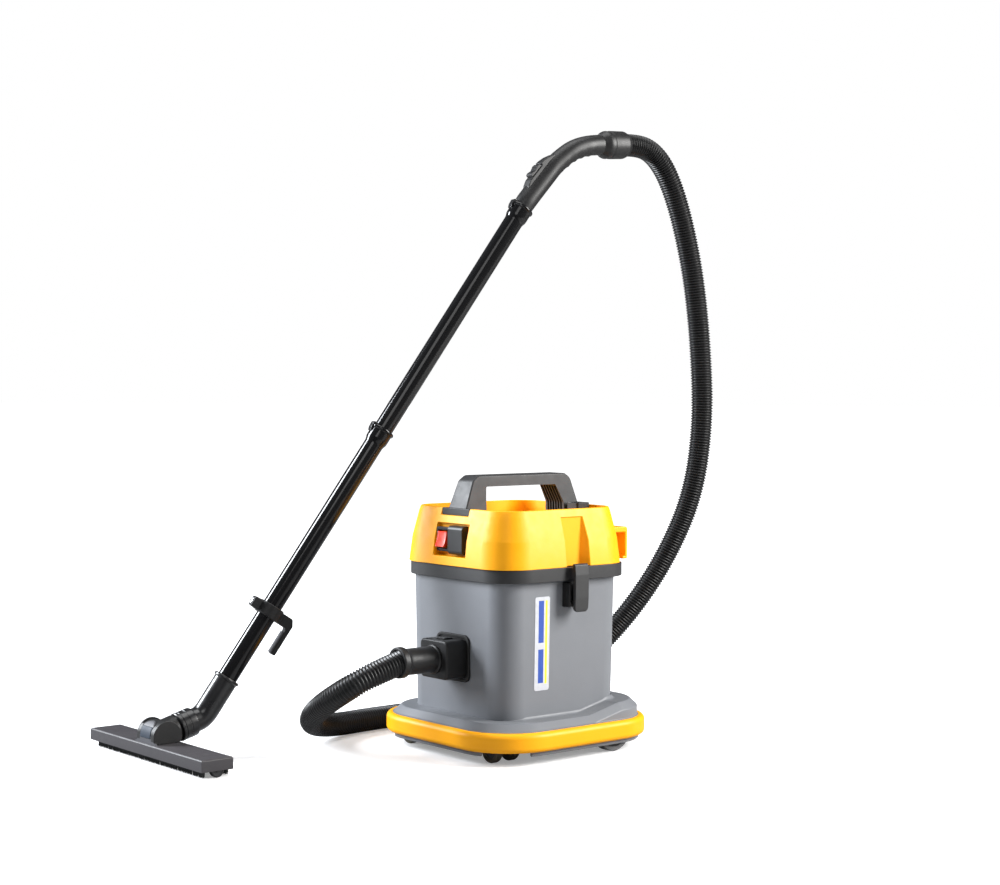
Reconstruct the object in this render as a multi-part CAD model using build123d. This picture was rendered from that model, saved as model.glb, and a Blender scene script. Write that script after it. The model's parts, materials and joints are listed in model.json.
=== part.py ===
from build123d import *
import os
from math import tan, radians, cos, sin

os.makedirs("parts", exist_ok=True)

# Canister vacuum cleaner for dry dust: a square tub on a castered base, a lift-off motor head,
# and a hose, hand tube, two wand tubes and floor tool that stand in front of it.
# The machine is drawn about its own centre line, in millimetres: +X is its right side, +Y its
# rear, +Z up, and the floor is Z = 0. export_all() then centres the whole object on the origin.

# ---- driving dimensions: base and tub
BASE_HALF, BASE_CORNER, BASE_REAR_EXTRA = 181.0, 95.0, 8.0
SKIRT_LOW, SKIRT_HIGH, DECK_Z = 15.5, 57.0, 69.5
DECK_HALF, DECK_CORNER = 166.0, 82.0
BASE_WALL, RIB_LOW, RIB_HALF = 4.0, 48.0, 2.0
BUMPER_HALF, BUMPER_CORNER = 192.3, 106.3
BUMPER_LOW, BUMPER_HIGH, BUMPER_ROUND = 23.0, 56.5, 9.0
RAMP_FRONT, RAMP_REAR, RAMP_RISE = 32.0, 98.0, 15.5
TUB_LOW_HALF, TUB_HIGH_HALF, TUB_CORNER, TUB_WALL = 135.0, 138.5, 45.0, 3.0
TUB_TOP, BAND_LOW = 311.0, 304.0
LABEL_FRONT, LABEL_REAR, LABEL_LOW, LABEL_HIGH = -69.0, -36.0, 117.0, 278.0
# ---- wheels
REAR_WHEEL_R, REAR_WHEEL_W, REAR_WHEEL_X, REAR_WHEEL_Y = 37.0, 22.0, 156.0, 92.0
REAR_AXLE_R, RUNNING_GAP = 5.0, 0.05
CASTER_X, CASTER_Y, CASTER_TRAIL = 100.0, 128.0, 14.0
CASTER_WHEEL_R, CASTER_WHEEL_W, CASTER_WHEEL_OFFSET = 22.0, 13.0, 19.0
CASTER_STEM_R = 5.5
# ---- head
HEAD_LOW_HALF, HEAD_LOW_CORNER, HEAD_LOW = 151.4, 62.0, 327.0
HEAD_MID_HALF, HEAD_MID_CORNER, HEAD_MID = 146.6, 60.0, 372.0
HEAD_TOP_HALF, HEAD_TOP_CORNER, HEAD_TOP = 133.4, 48.0, 426.0
HEAD_WALL, TRAY_FLOOR = 4.0, 396.0
LIFT_GAP = 0.3
SWITCH_Z, SWITCH_X = 371.0, 1.5
POCKET_W, POCKET_H, POCKET_BACK = 89.0, 57.0, 133.0
ROCKER_X, CAP_X = -25.0, 15.0
LATCH_Y, LATCH_WIDTH = 9.0, 31.0
LATCH_PIN_X, LATCH_PIN_Z, LATCH_PIN_R = 154.0, 264.0, 2.0
GLAND_X, GLAND_Z, GLAND_HOLE_R = 40.0, 352.0, 8.0
# ---- carry handle, with a screw from inside the head into each leg
HANDLE_TOP, GRIP_UNDER, HANDLE_HALF_W = 482.0, 461.0, 27.5
SCREW_R, SCREW_Y = 2.5, (-104.0, 112.0)
# ---- inlet
INLET_Z, CUFF_END, PIPE_R, COLLAR_R = 167.0, 264.0, 22.8, 26.8
HOSE_BORE_R, PORT_R = 17.5, 24.5
# ---- motor and filter, on the head's centre line
FAN_R, FAN_HIGH, MOTOR_R, MOTOR_HIGH = 72.0, 352.0, 48.0, 384.0
PLATE_LOW, PLATE_HIGH = 317.0, 321.0
CAGE_R, CAGE_LOW = 75.0, 225.0
# ---- wand, from its foot to the top of the upper tube
WAND_FOOT, WAND_TOP = Vector(-241, -451, 130.5), Vector(-82.4, 81, 966)
TUBE_R, TUBE_WALL, JOINT_R, JOINT_LENGTH, JOINT_DEPTH = 17.5, 1.8, 20.5, 26.0, 24.0
LOWER_TUBE_START = -42.0
HAND_R, HAND_BORE_R, CUP_R, CUP_LENGTH, SPIGOT_LENGTH = 19.0, 15.5, 26.0, 62.0, 23.5
HAND_BEND = Vector(-70, 152, 1053)
PARK_CLIP_AT, PARK_CLIP_R = 136.0, 24.0
# ---- floor tool, drawn about its pitch pivot
ELBOW_DROP, NECK_LENGTH, NECK_PITCH = 78.0, 84.0, 15.0
TOOL_LENGTH, TOOL_DEPTH, TOOL_LOW, TOOL_HIGH = 380.0, 60.0, 12.0, 32.5
TOOL_WHEEL_R, BRUSH_Y, TUFTS = 12.0, 22.0, 20
ELBOW_R, NECK_R, DRUM_HALF, AXLE_R = 21.0, 23.5, 23.8, 3.0
PEDAL_HALF, PEDAL_HINGE_Z = 17.2, 41.9
# ---- hose: its outer diameter and the points of its route, from the hand tube to the inlet
HOSE_OD = 42.5
HOSE_ROUTE = [
    (-54, 311, 1096.5), (-52, 347, 1099), (-50, 382, 1087), (-48, 411, 1059), (-46, 436, 1015),
    (-45, 462, 950), (-44, 490, 850), (-43, 509, 720), (-43, 518, 570), (-56, 505, 425),
    (-88, 462, 300), (-130, 402, 190), (-178, 330, 100), (-220, 250, 43), (-248, 160, 23),
    (-259, 55, 21.5), (-260, -50, 21.5), (-259, -140, 21.5), (-246, -218, 22), (-212, -285, 34),
    (-158, -334, 56), (-96, -358, 87), (-41, -350, 120), (-8, -312, 150), (0, -254, 168),
]

WAND_AXIS = (WAND_TOP - WAND_FOOT).normalized()
WAND_UP = (Vector(0, 0, 1) - WAND_AXIS * WAND_AXIS.Z).normalized()
CUP_AXIS = (Vector(*HOSE_ROUTE[1]) - Vector(*HOSE_ROUTE[0])).normalized()
NECK_AXIS = Vector(0, cos(radians(NECK_PITCH)), sin(radians(NECK_PITCH)))
ELBOW_BEND = WAND_FOOT - WAND_AXIS * ELBOW_DROP
TOOL_PIVOT = ELBOW_BEND - NECK_AXIS * NECK_LENGTH
CORD_NODES = ["hose"]
nodes = {}


def box(x_low, x_high, y_low, y_high, z_low, z_high):
    centre = Pos((x_low + x_high) / 2, (y_low + y_high) / 2, (z_low + z_high) / 2)
    return centre * Box(x_high - x_low, y_high - y_low, z_high - z_low)


def rod(radius, start, end):
    start, end = Vector(*start), Vector(*end)
    place = Plane(origin=start, z_dir=end - start)
    return place * Cylinder(radius, (end - start).length, align=(Align.CENTER, Align.CENTER, Align.MIN))


def pipe(radius, bore, start, end):
    return rod(radius, start, end) - rod(bore, start, end)


def rounded_square(half, corner, z):
    return Pos(0, 0, z) * RectangleRounded(2 * half, 2 * half, corner)


def prism(half, corner, low, high):
    return extrude(rounded_square(half, corner, low), high - low)


def taper(*sections):
    return loft([rounded_square(*section) for section in sections], ruled=True)


def side_profile(points, half_width, centre_x=0.0):
    """A solid whose outline in the YZ plane is given, centred on centre_x."""
    outline = make_face(Polyline(*[(centre_x, y, z) for y, z in points], close=True))
    return extrude(outline, half_width, dir=(1, 0, 0), both=True)


def front_profile(points, y_low, y_high):
    """A solid whose outline in the XZ plane is given, from y_low to y_high."""
    outline = make_face(Polyline(*[(x, y_low, z) for x, z in points], close=True))
    return extrude(outline, y_high - y_low, dir=(0, 1, 0))


def filleted_path(points, radii):
    return FilletPolyline(*[Vector(*point) for point in points], radius=radii)


def tube_along(points, radii, radius, bore=0.0):
    path = filleted_path(points, radii)
    start = Plane(origin=path @ 0, z_dir=path % 0)
    solid = sweep(start * Circle(radius), path=path)
    if bore:
        solid -= sweep(start * Circle(bore), path=path)
    return solid


def corner_radii(points):
    """The largest even arcs for a route: 0.45 of the shorter run over tan of half the turn."""
    radii = []
    for before, corner, after in zip(points, points[1:], points[2:]):
        run_in, run_out = Vector(*corner) - Vector(*before), Vector(*after) - Vector(*corner)
        half_turn = radians(run_in.get_angle(run_out)) / 2
        radii.append(0.45 * min(run_in.length, run_out.length) / tan(half_turn))
    return radii


def mirrored(solid):
    return mirror(solid, about=Plane.YZ)


def both_sides(name, right_solid):
    nodes[name + "_right"] = right_solid
    nodes[name + "_left"] = mirrored(right_solid)


# ---- base, bumper, wheels

def base_outline(half, corner, z):
    """The base's outline: a rounded square, drawn out a little at the rear."""
    return Pos(0, BASE_REAR_EXTRA / 2, z) * RectangleRounded(2 * half, 2 * half + BASE_REAR_EXTRA, corner)


def base_slab(half, corner, low, high):
    return extrude(base_outline(half, corner, low), high - low)


def base_taper(*sections):
    return loft([base_outline(*section) for section in sections], ruled=True)


def raised_rear(inset):
    """The rear of the deck, which ramps up over the rear wheels; inset by a wall for its hollow."""
    half, corner = BASE_HALF - 2 - inset, BASE_CORNER - 2 - inset
    deck_half, deck_corner = DECK_HALF - inset, DECK_CORNER - inset
    low, edge_z, deck_z = SKIRT_HIGH - inset - 1, SKIRT_HIGH - inset, DECK_Z - inset
    block = base_slab(half, corner, low, edge_z + RAMP_RISE)
    block += base_taper((half, corner, edge_z + RAMP_RISE), (deck_half, deck_corner, deck_z + RAMP_RISE))
    section = [(-half, -BASE_HALF), (half, -BASE_HALF), (half, edge_z), (deck_half, deck_z),
               (-deck_half, deck_z), (-half, edge_z)]
    start = make_face(Polyline(*[(x, RAMP_FRONT, z) for x, z in section], close=True))
    return block & extrude(start, 2 * BASE_HALF, dir=(0, RAMP_REAR - RAMP_FRONT, RAMP_RISE))


def make_base():
    outer = base_slab(BASE_HALF, BASE_CORNER, SKIRT_LOW, SKIRT_HIGH)
    outer += base_taper((BASE_HALF - 2, BASE_CORNER - 2, SKIRT_HIGH), (DECK_HALF, DECK_CORNER, DECK_Z))
    outer += raised_rear(0) - tub_outer()
    wall = BASE_WALL
    inner = base_slab(BASE_HALF - wall, BASE_CORNER - wall, 0, SKIRT_HIGH - wall)
    inner += base_taper((BASE_HALF - wall - 2, BASE_CORNER - wall - 2, SKIRT_HIGH - wall),
                        (DECK_HALF - wall, DECK_CORNER - wall, DECK_Z - wall))
    inner += raised_rear(wall) - prism(TUB_LOW_HALF + wall, TUB_CORNER + wall, DECK_Z - wall, 2 * DECK_Z)
    base = outer - inner
    rib_top = DECK_Z - 3
    for side in (-1, 1):
        for rib in (45, 100):
            base += box(side * rib - RIB_HALF, side * rib + RIB_HALF, -150, 150, RIB_LOW, rib_top)
        base += rod(14, (side * CASTER_X, -CASTER_Y, 46), (side * CASTER_X, -CASTER_Y, DECK_Z - 6))
    for rib in (-60, 20):
        base += box(-150, 150, rib - RIB_HALF, rib + RIB_HALF, RIB_LOW, rib_top)
    skirt_cut = BUMPER_LOW + 2
    stem_hole = CASTER_STEM_R + RUNNING_GAP
    for side in (-1, 1):
        near, far = sorted((side * 121, side * 215))
        base -= box(near, far, -215, -110, 0, skirt_cut)
        base -= rod(stem_hole, (side * CASTER_X, -CASTER_Y, 40), (side * CASTER_X, -CASTER_Y, 64))
        base += box(side * 118 - 6, side * 118 + 6, REAR_WHEEL_Y - 17, REAR_WHEEL_Y + 17, 26, rib_top)
    axle_hole = rod(REAR_AXLE_R, (-175, REAR_WHEEL_Y, REAR_WHEEL_R), (175, REAR_WHEEL_Y, REAR_WHEEL_R))
    nodes["base_plate"] = base - axle_hole

    ring = base_slab(BUMPER_HALF, BUMPER_CORNER, BUMPER_LOW, BUMPER_HIGH)
    rims = ring.faces().sort_by(Axis.Z)[-1].edges() + ring.faces().sort_by(Axis.Z)[0].edges()
    nodes["bumper_ring"] = fillet(rims, BUMPER_ROUND) - base_slab(BASE_HALF, BASE_CORNER, 0, 100)


def make_rear_wheels():
    y, z = REAR_WHEEL_Y, REAR_WHEEL_R
    inner, outer = REAR_WHEEL_X - REAR_WHEEL_W / 2, REAR_WHEEL_X + REAR_WHEEL_W / 2
    rim_r = REAR_WHEEL_R - 8
    axle = rod(REAR_AXLE_R, (-outer - 2, y, z), (outer + 2, y, z))
    for side in (-1, 1):
        axle += rod(9, (side * (outer - 0.5), y, z), (side * (outer + 2), y, z))
    nodes["rear_axle"] = axle
    tyre = pipe(REAR_WHEEL_R, rim_r, (inner, y, z), (outer, y, z))
    tyre = fillet(tyre.edges().filter_by(GeomType.CIRCLE).group_by(SortBy.RADIUS)[-1], 2.5)
    hub = rod(rim_r, (inner + 1, y, z), (outer - 1, y, z))
    hub -= pipe(rim_r - 4, 12, (outer - 7, y, z), (outer, y, z))
    hub -= rod(REAR_AXLE_R + RUNNING_GAP, (inner, y, z), (outer, y, z))
    both_sides("rear_tyre", tyre)
    both_sides("rear_hub", hub)


def make_caster():
    x, y = CASTER_X, -CASTER_Y
    turned = Pos(x, y, 0) * Rot(0, 0, 180) * Pos(-x, -y, 0)
    axle_x = x - CASTER_TRAIL
    z = CASTER_WHEEL_R
    inner = CASTER_WHEEL_OFFSET - CASTER_WHEEL_W / 2
    outer = CASTER_WHEEL_OFFSET + CASTER_WHEEL_W / 2
    fork = rod(CASTER_STEM_R, (x, y, 36), (x, y, 63.5)) + rod(13, (x, y, 26), (x, y, 43.5))
    fork += box(axle_x - 7, x + 9, y - inner + 1, y + inner - 1, z - 8, 40)
    fork -= rod(3.05, (axle_x, y - 30, z), (axle_x, y + 30, z))
    fork -= box(axle_x - 30, axle_x + CASTER_WHEEL_R + 0.8, y + inner - 0.5, y + 30, 0, 44)
    fork -= box(axle_x - 30, axle_x + CASTER_WHEEL_R + 0.8, y - 30, y - inner + 0.5, 0, 44)
    both_sides("caster_fork", turned * fork)
    twin = rod(3, (axle_x, y - outer + 1, z), (axle_x, y + outer - 1, z))
    for side in (-1, 1):
        near, far = y + side * inner, y + side * outer
        wheel = rod(CASTER_WHEEL_R, (axle_x, near, z), (axle_x, far, z))
        wheel = fillet(wheel.edges().filter_by(GeomType.CIRCLE), 3)
        twin += wheel - rod(CASTER_WHEEL_R - 6, (axle_x, far - side * 2, z), (axle_x, far, z))
    both_sides("caster_wheels", turned * twin)


# ---- tub, inlet, latches

def tub_outer():
    return taper((TUB_LOW_HALF, TUB_CORNER, DECK_Z), (TUB_HIGH_HALF, TUB_CORNER, BAND_LOW))


def make_tub():
    outer = tub_outer() + prism(TUB_HIGH_HALF, TUB_CORNER, BAND_LOW, TUB_TOP)
    low, high = TUB_LOW_HALF - TUB_WALL, TUB_HIGH_HALF - TUB_WALL
    inner = taper((low, TUB_CORNER - TUB_WALL, DECK_Z + TUB_WALL), (high, TUB_CORNER - TUB_WALL, BAND_LOW))
    inner += prism(high, TUB_CORNER - TUB_WALL, BAND_LOW, TUB_TOP)
    port = rod(PORT_R, (0, -160, INLET_Z), (0, -120, INLET_Z))
    nodes["tub"] = outer - inner - port

    skin = taper((TUB_LOW_HALF + 0.5, TUB_CORNER, DECK_Z), (TUB_HIGH_HALF + 0.5, TUB_CORNER, BAND_LOW))
    plate = box(TUB_LOW_HALF - 10, TUB_HIGH_HALF + 10, LABEL_FRONT, LABEL_REAR, LABEL_LOW, LABEL_HIGH)
    plate = fillet(plate.edges().filter_by(Axis.X), 4)
    nodes["tub_label"] = (skin - tub_outer()) & plate


def make_inlet():
    z = INLET_Z
    face = -TUB_HIGH_HALF - 4.5
    flange = box(-46, 46, face, -TUB_LOW_HALF + 4, z - 41, z + 41)
    flange = fillet(flange.edges().filter_by(Axis.Y), 14) - tub_outer()
    nodes["inlet_flange"] = flange - rod(PORT_R, (0, -160, z), (0, -120, z))

    front = face - 43
    body = box(-37.5, 37.5, front, face, z - 33.5, z + 33.5)
    body = fillet(body.edges().filter_by(Axis.Y), 9)
    body = fillet(body.faces().sort_by(Axis.Y)[0].edges(), 4)
    body -= rod(HOSE_BORE_R, (0, front, z), (0, face, z))
    body -= box(-12.3, 12.3, face - 27.3, face - 8.7, z + 28, z + 40)
    nodes["inlet_box"] = body + pipe(PORT_R, HOSE_BORE_R, (0, face, z), (0, -104, z))
    tab = box(-12, 12, face - 27, face - 9, z + 31, z + 36.5)
    nodes["release_button"] = fillet(tab.faces().sort_by(Axis.Z)[-1].edges(), 1.5)

    cuff = rod(PIPE_R, (0, front, z), (0, -CUFF_END, z))
    cuff += rod(COLLAR_R, (0, -CUFF_END + 14, z), (0, -CUFF_END, z))
    cuff += rod(PIPE_R + 2, (0, front, z), (0, front - 5, z))
    nodes["hose_cuff"] = cuff - rod(HOSE_BORE_R, (0, front, z), (0, -CUFF_END, z))

    collar = box(-50, 50, -116, -112, z - 50, z + 50)
    nodes["bag_collar"] = collar - rod(PORT_R, (0, -150, z), (0, -90, z))
    bag = box(-105, 105, -112, 105, DECK_Z + 6, 206)
    bag = fillet(bag.edges(), 22) - rod(25, (0, -150, z), (0, -98, z))
    nodes["dust_bag"] = bag


def make_latch():
    x, z, y = LATCH_PIN_X, LATCH_PIN_Z, LATCH_Y
    half = LATCH_WIDTH / 2
    bracket = box(TUB_LOW_HALF, TUB_HIGH_HALF + 3.5, y - 17, y + 17, z - 6, z + 36)
    for side in (-1, 1):
        inside, outside = y + side * 13, y + side * 17
        low, high = min(inside, outside), max(inside, outside)
        bracket += box(TUB_LOW_HALF, x, low, high, z - 5.5, z + 36)
        bracket += box(x, x + 4, low, high, z, z + 36) + rod(5.5, (x, low, z), (x, high, z))
    bracket += rod(LATCH_PIN_R, (x, y - 17, z), (x, y + 17, z))
    both_sides("latch_bracket", bracket - tub_outer())

    profile = [(x + 6, z - 9), (x + 8, z - 14), (x + 12, z - 14), (x + 13, z + 50),
               (x + 11, z + 67), (x + 8, z + 69), (x + 4.6, z + 69), (x + 4.6, z + 60), (x + 6, z + 58)]
    lever = front_profile(profile, y - half, y + half)
    knuckle = rod(5, (x, y - 12.7, z), (x, y + 12.7, z)) + box(x, x + 8, y - 12.7, y + 12.7, z - 5, z + 5)
    lever += knuckle
    lever -= rod(LATCH_PIN_R + RUNNING_GAP, (x, y - 30, z), (x, y + 30, z))
    both_sides("latch_lever", lever)


# ---- head

def head_outer():
    return taper((HEAD_LOW_HALF, HEAD_LOW_CORNER, HEAD_LOW), (HEAD_MID_HALF, HEAD_MID_CORNER, HEAD_MID),
                 (HEAD_TOP_HALF + 1.5, HEAD_TOP_CORNER + 1, HEAD_TOP - 8),
                 (HEAD_TOP_HALF - 1, HEAD_TOP_CORNER, HEAD_TOP))


def latch_relief():
    """The wedge cut above the right latch, so that a finger reaches the lever's tip."""
    floor_x, far_x, low, high = 134.0, 162.0, HEAD_LOW - 1, HEAD_TOP - 14
    slant = 0.7 * (far_x - floor_x)
    sections = []
    for z, front, rear in ((low, -8, 34), (high, -10, 38)):
        corners = [(floor_x, front, z), (far_x, front, z), (far_x, rear + slant, z), (floor_x, rear, z)]
        sections.append(make_face(Polyline(*corners, close=True)))
    return loft(sections, ruled=True)


def make_head():
    outer = head_outer()
    wall = HEAD_WALL
    cavity = taper((HEAD_LOW_HALF - wall, HEAD_LOW_CORNER - wall, HEAD_LOW),
                   (HEAD_MID_HALF - wall, HEAD_MID_CORNER - wall, HEAD_MID),
                   (HEAD_TOP_HALF - 1, 46, TRAY_FLOOR - wall))
    latch_backing = box(130, 165, -14, 60, HEAD_LOW, HEAD_TOP)
    cavity -= latch_backing + mirrored(latch_backing)
    cavity -= box(SWITCH_X - POCKET_W / 2 - wall, SWITCH_X + POCKET_W / 2 + wall, -160, -POCKET_BACK + wall,
                  SWITCH_Z - POCKET_H / 2 - wall, SWITCH_Z + POCKET_H / 2 + wall)
    tray = taper((HEAD_TOP_HALF - 5, 44, TRAY_FLOOR), (HEAD_TOP_HALF - 5.5, 44, HEAD_TOP))
    shell = outer - cavity - tray
    shell -= box(SWITCH_X - POCKET_W / 2, SWITCH_X + POCKET_W / 2, -170, -POCKET_BACK,
                 SWITCH_Z - POCKET_H / 2, SWITCH_Z + POCKET_H / 2)
    for relief in (latch_relief(), mirrored(latch_relief())):
        shell -= relief
    for y in SCREW_Y:
        shell -= rod(SCREW_R, (0, y, TRAY_FLOOR - 10), (0, y, TRAY_FLOOR + 1))
    shell -= rod(GLAND_HOLE_R, (GLAND_X, 120, GLAND_Z), (GLAND_X, 160, GLAND_Z))
    nodes["head_cover"] = shell - nodes["carry_handle"]

    ledge = 127.0
    band = prism(HEAD_LOW_HALF, HEAD_LOW_CORNER, BAND_LOW, HEAD_LOW)
    band -= prism(TUB_HIGH_HALF + 1.5, TUB_CORNER + 1.5, BAND_LOW, TUB_TOP + 2.3)
    band -= prism(ledge, 36, BAND_LOW, PLATE_LOW) + prism(HEAD_LOW_HALF - 8, 54, PLATE_LOW, HEAD_LOW)
    keeper = box(HEAD_LOW_HALF - 1, LATCH_PIN_X + 4, LATCH_Y - 13, LATCH_Y + 13, BAND_LOW + 2, HEAD_LOW - 1)
    nodes["head_band"] = band + keeper + mirrored(keeper)
    seal = prism(TUB_HIGH_HALF + 1, TUB_CORNER + 1, TUB_TOP + LIFT_GAP, TUB_TOP + 2.3)
    nodes["head_seal"] = seal - prism(TUB_HIGH_HALF - 6, TUB_CORNER - 6, TUB_TOP, TUB_TOP + 3)

    hook = box(60, 98, 130, 185, 376, 386) + box(60, 98, 179, 185, 328, 386)
    hook += box(60, 98, 173, 180, 328, 333)
    outer_edge = hook.edges().filter_by(Axis.X).sort_by(lambda edge: edge.center().Y + edge.center().Z)[-1]
    hook = fillet(outer_edge, 5)
    hook -= head_outer()
    nodes["rear_hooks"] = Compound([hook, mirrored(hook)])
    x, z = GLAND_X, GLAND_Z
    gland = rod(GLAND_HOLE_R, (x, 135, z), (x, 151, z)) + rod(11, (x, 144, z), (x, 158, z))
    gland += rod(7, (x, 158, z), (x, 172, z))
    solid_wall = head_outer() - rod(GLAND_HOLE_R, (x, 120, z), (x, 160, z))
    nodes["cable_gland"] = gland - rod(4, (x, 120, z), (x, 180, z)) - solid_wall


def make_handle():
    outline = [(-137, 413), (-137, 424), (-133, 426), (-115, 474), (-104, 482), (98, 482), (109, 475),
               (126, 428), (126, TRAY_FLOOR), (92, TRAY_FLOOR), (90, 430), (72, GRIP_UNDER),
               (-86, GRIP_UNDER), (-88, TRAY_FLOOR), (-122, TRAY_FLOOR), (-122, 413)]
    handle = side_profile(outline, HANDLE_HALF_W)
    wide, narrow = HANDLE_HALF_W, HANDLE_HALF_W - 7
    widths = [(-wide, TRAY_FLOOR), (wide, TRAY_FLOOR), (wide, 424), (narrow, HANDLE_TOP),
              (-narrow, HANDLE_TOP), (-wide, 424)]
    handle &= front_profile(widths, -150, 150)
    handle += box(-38, 38, -137, -120, 413, 425)
    slot_outline = [(70, GRIP_UNDER - 4), (88, 430), (90, TRAY_FLOOR + 6), (106, TRAY_FLOOR + 6),
                    (92, GRIP_UNDER - 4)]
    for rib in range(-3, 3):
        handle -= side_profile(slot_outline, 2.6, rib * 7 + 3.5)
    for tooth in range(8):
        y = -80 + tooth * 18.5
        handle -= box(-15, 15, y, y + 14, GRIP_UNDER - 1, GRIP_UNDER + 11)
    screws = []
    for y in SCREW_Y:
        handle -= rod(SCREW_R, (0, y, TRAY_FLOOR - 1), (0, y, TRAY_FLOOR + 16))
        screw = rod(SCREW_R, (0, y, TRAY_FLOOR - 4), (0, y, TRAY_FLOOR + 15))
        screws.append(screw + rod(2 * SCREW_R, (0, y, TRAY_FLOOR - 7), (0, y, TRAY_FLOOR - 4)))
    nodes["carry_handle"] = handle
    nodes["handle_screws"] = Compound(screws)
    vent = fillet(box(31, 61, 96, 126, TRAY_FLOOR, 430).edges().filter_by(Axis.Z), 4)
    for slat in range(4):
        vent -= box(35 + slat * 6, 38.5 + slat * 6, 100, 122, 424, 430)
    nodes["exhaust_housing"] = vent


def make_switch():
    y, z = -POCKET_BACK, SWITCH_Z
    bezel = box(ROCKER_X - 18, ROCKER_X + 17.5, y - 9, y, z - 21, z + 21)
    bezel = fillet(bezel.edges().filter_by(Axis.Y), 3)
    bezel -= box(ROCKER_X - 13.5, ROCKER_X + 13.5, y - 9, y, z - 16, z + 16)
    pivot_y = y - 6
    bezel -= rod(1.5, (ROCKER_X - 15.5, pivot_y, z), (ROCKER_X + 15.5, pivot_y, z))
    nodes["switch_bezel"] = bezel
    profile = [(pivot_y + 2, z - 7), (pivot_y + 2, z + 7), (pivot_y - 3, z + 14), (pivot_y - 5, z + 14),
               (pivot_y - 7, z), (pivot_y - 12.5, z - 13), (pivot_y - 8, z - 14)]
    rocker = side_profile(profile, 13, ROCKER_X)
    rocker += rod(1.45, (ROCKER_X - 15.2, pivot_y, z), (ROCKER_X + 15.2, pivot_y, z))
    nodes["switch_rocker"] = rocker
    cap = box(CAP_X - 20, CAP_X + 20, y - 15, y, z - 25, z + 25)
    cap = fillet(cap.edges().filter_by(Axis.X).sort_by(Axis.Y)[0:2], 7)
    nodes["socket_cap"] = cap


def make_motor():
    plate = prism(HEAD_LOW_HALF - 8.5, 53.5, PLATE_LOW, PLATE_HIGH) - rod(40, (0, 0, 310), (0, 0, 330))
    nodes["motor_plate"] = plate
    shell = rod(FAN_R, (0, 0, PLATE_HIGH), (0, 0, FAN_HIGH))
    shell += rod(MOTOR_R, (0, 0, FAN_HIGH), (0, 0, MOTOR_HIGH))
    shell -= rod(FAN_R - 3, (0, 0, PLATE_HIGH + 3), (0, 0, FAN_HIGH - 3))
    shell -= rod(MOTOR_R - 3, (0, 0, FAN_HIGH - 4), (0, 0, MOTOR_HIGH - 3))
    shell -= rod(26, (0, 0, PLATE_HIGH), (0, 0, PLATE_HIGH + 3)) + rod(5.05, (0, 0, 380), (0, 0, MOTOR_HIGH))
    nodes["motor_shell"] = shell
    rotor = rod(5, (0, 0, PLATE_HIGH + 5), (0, 0, MOTOR_HIGH - 0.5)) + rod(32, (0, 0, 358), (0, 0, 378))
    rotor += rod(FAN_R - 8, (0, 0, 327), (0, 0, 329)) + rod(FAN_R - 8, (0, 0, 341), (0, 0, 343))
    for blade in range(9):
        rotor += Rot(0, 0, blade * 40) * box(14, FAN_R - 9, -1, 1, 328, 342)
    nodes["fan_rotor"] = rotor
    nodes["motor_seal"] = pipe(FAN_R + 3, FAN_R, (0, 0, PLATE_HIGH), (0, 0, PLATE_HIGH + 8))
    cage = pipe(CAGE_R, CAGE_R - 3, (0, 0, CAGE_LOW), (0, 0, PLATE_LOW))
    cage += rod(CAGE_R, (0, 0, CAGE_LOW), (0, 0, CAGE_LOW + 3))
    for window in range(5):
        cage -= Rot(0, 0, window * 36) * box(-90, 90, -15, 15, CAGE_LOW + 12, PLATE_LOW - 18)
    nodes["filter_cage"] = cage
    cloth = pipe(CAGE_R + 5, CAGE_R + 1, (0, 0, CAGE_LOW - 7), (0, 0, 303))
    cloth += rod(CAGE_R + 5, (0, 0, CAGE_LOW - 11), (0, 0, CAGE_LOW - 7))
    nodes["cloth_filter"] = cloth
    nodes["filter_ring"] = pipe(CAGE_R + 8, CAGE_R, (0, 0, 303), (0, 0, 311))


# ---- wand, hand tube, hose

def along_wand(distance, offset=0.0):
    return WAND_FOOT + WAND_AXIS * distance + WAND_UP * offset


def wand_piece(start, end):
    """A tube of the wand with a collar at its top, where the next piece plugs in."""
    tube = rod(TUBE_R, along_wand(start), along_wand(end))
    tube += rod(JOINT_R, along_wand(end - JOINT_LENGTH), along_wand(end))
    tube -= rod(TUBE_R - TUBE_WALL, along_wand(start), along_wand(end))
    return tube - rod(TUBE_R + RUNNING_GAP, along_wand(end - JOINT_DEPTH), along_wand(end))


def make_wand():
    length = (WAND_TOP - WAND_FOOT).length
    middle = length / 2 + 14
    nodes["lower_tube"] = wand_piece(LOWER_TUBE_START, middle)
    nodes["upper_tube"] = wand_piece(middle - JOINT_DEPTH, length)

    place = Plane(origin=along_wand(PARK_CLIP_AT), x_dir=-WAND_UP, z_dir=WAND_AXIS)
    clip = place * rod(PARK_CLIP_R, (0, 0, -11), (0, 0, 11))
    clip += place * box(20, 50, -9, 9, -11, 9)
    clip += place * box(40, 50, -9, 9, -62, 9)
    clip += place * box(-36, -20, -10, 10, -9, 9)
    clip -= place * rod(TUBE_R, (0, 0, -20), (0, 0, 20))
    screw = rod(SCREW_R, (-36, 0, 0), (-18, 0, 0)) + rod(6, (-39, 0, 0), (-36, 0, 0))
    nodes["clip_screw"] = place * screw
    nodes["park_clip"] = clip - nodes["clip_screw"]


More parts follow.
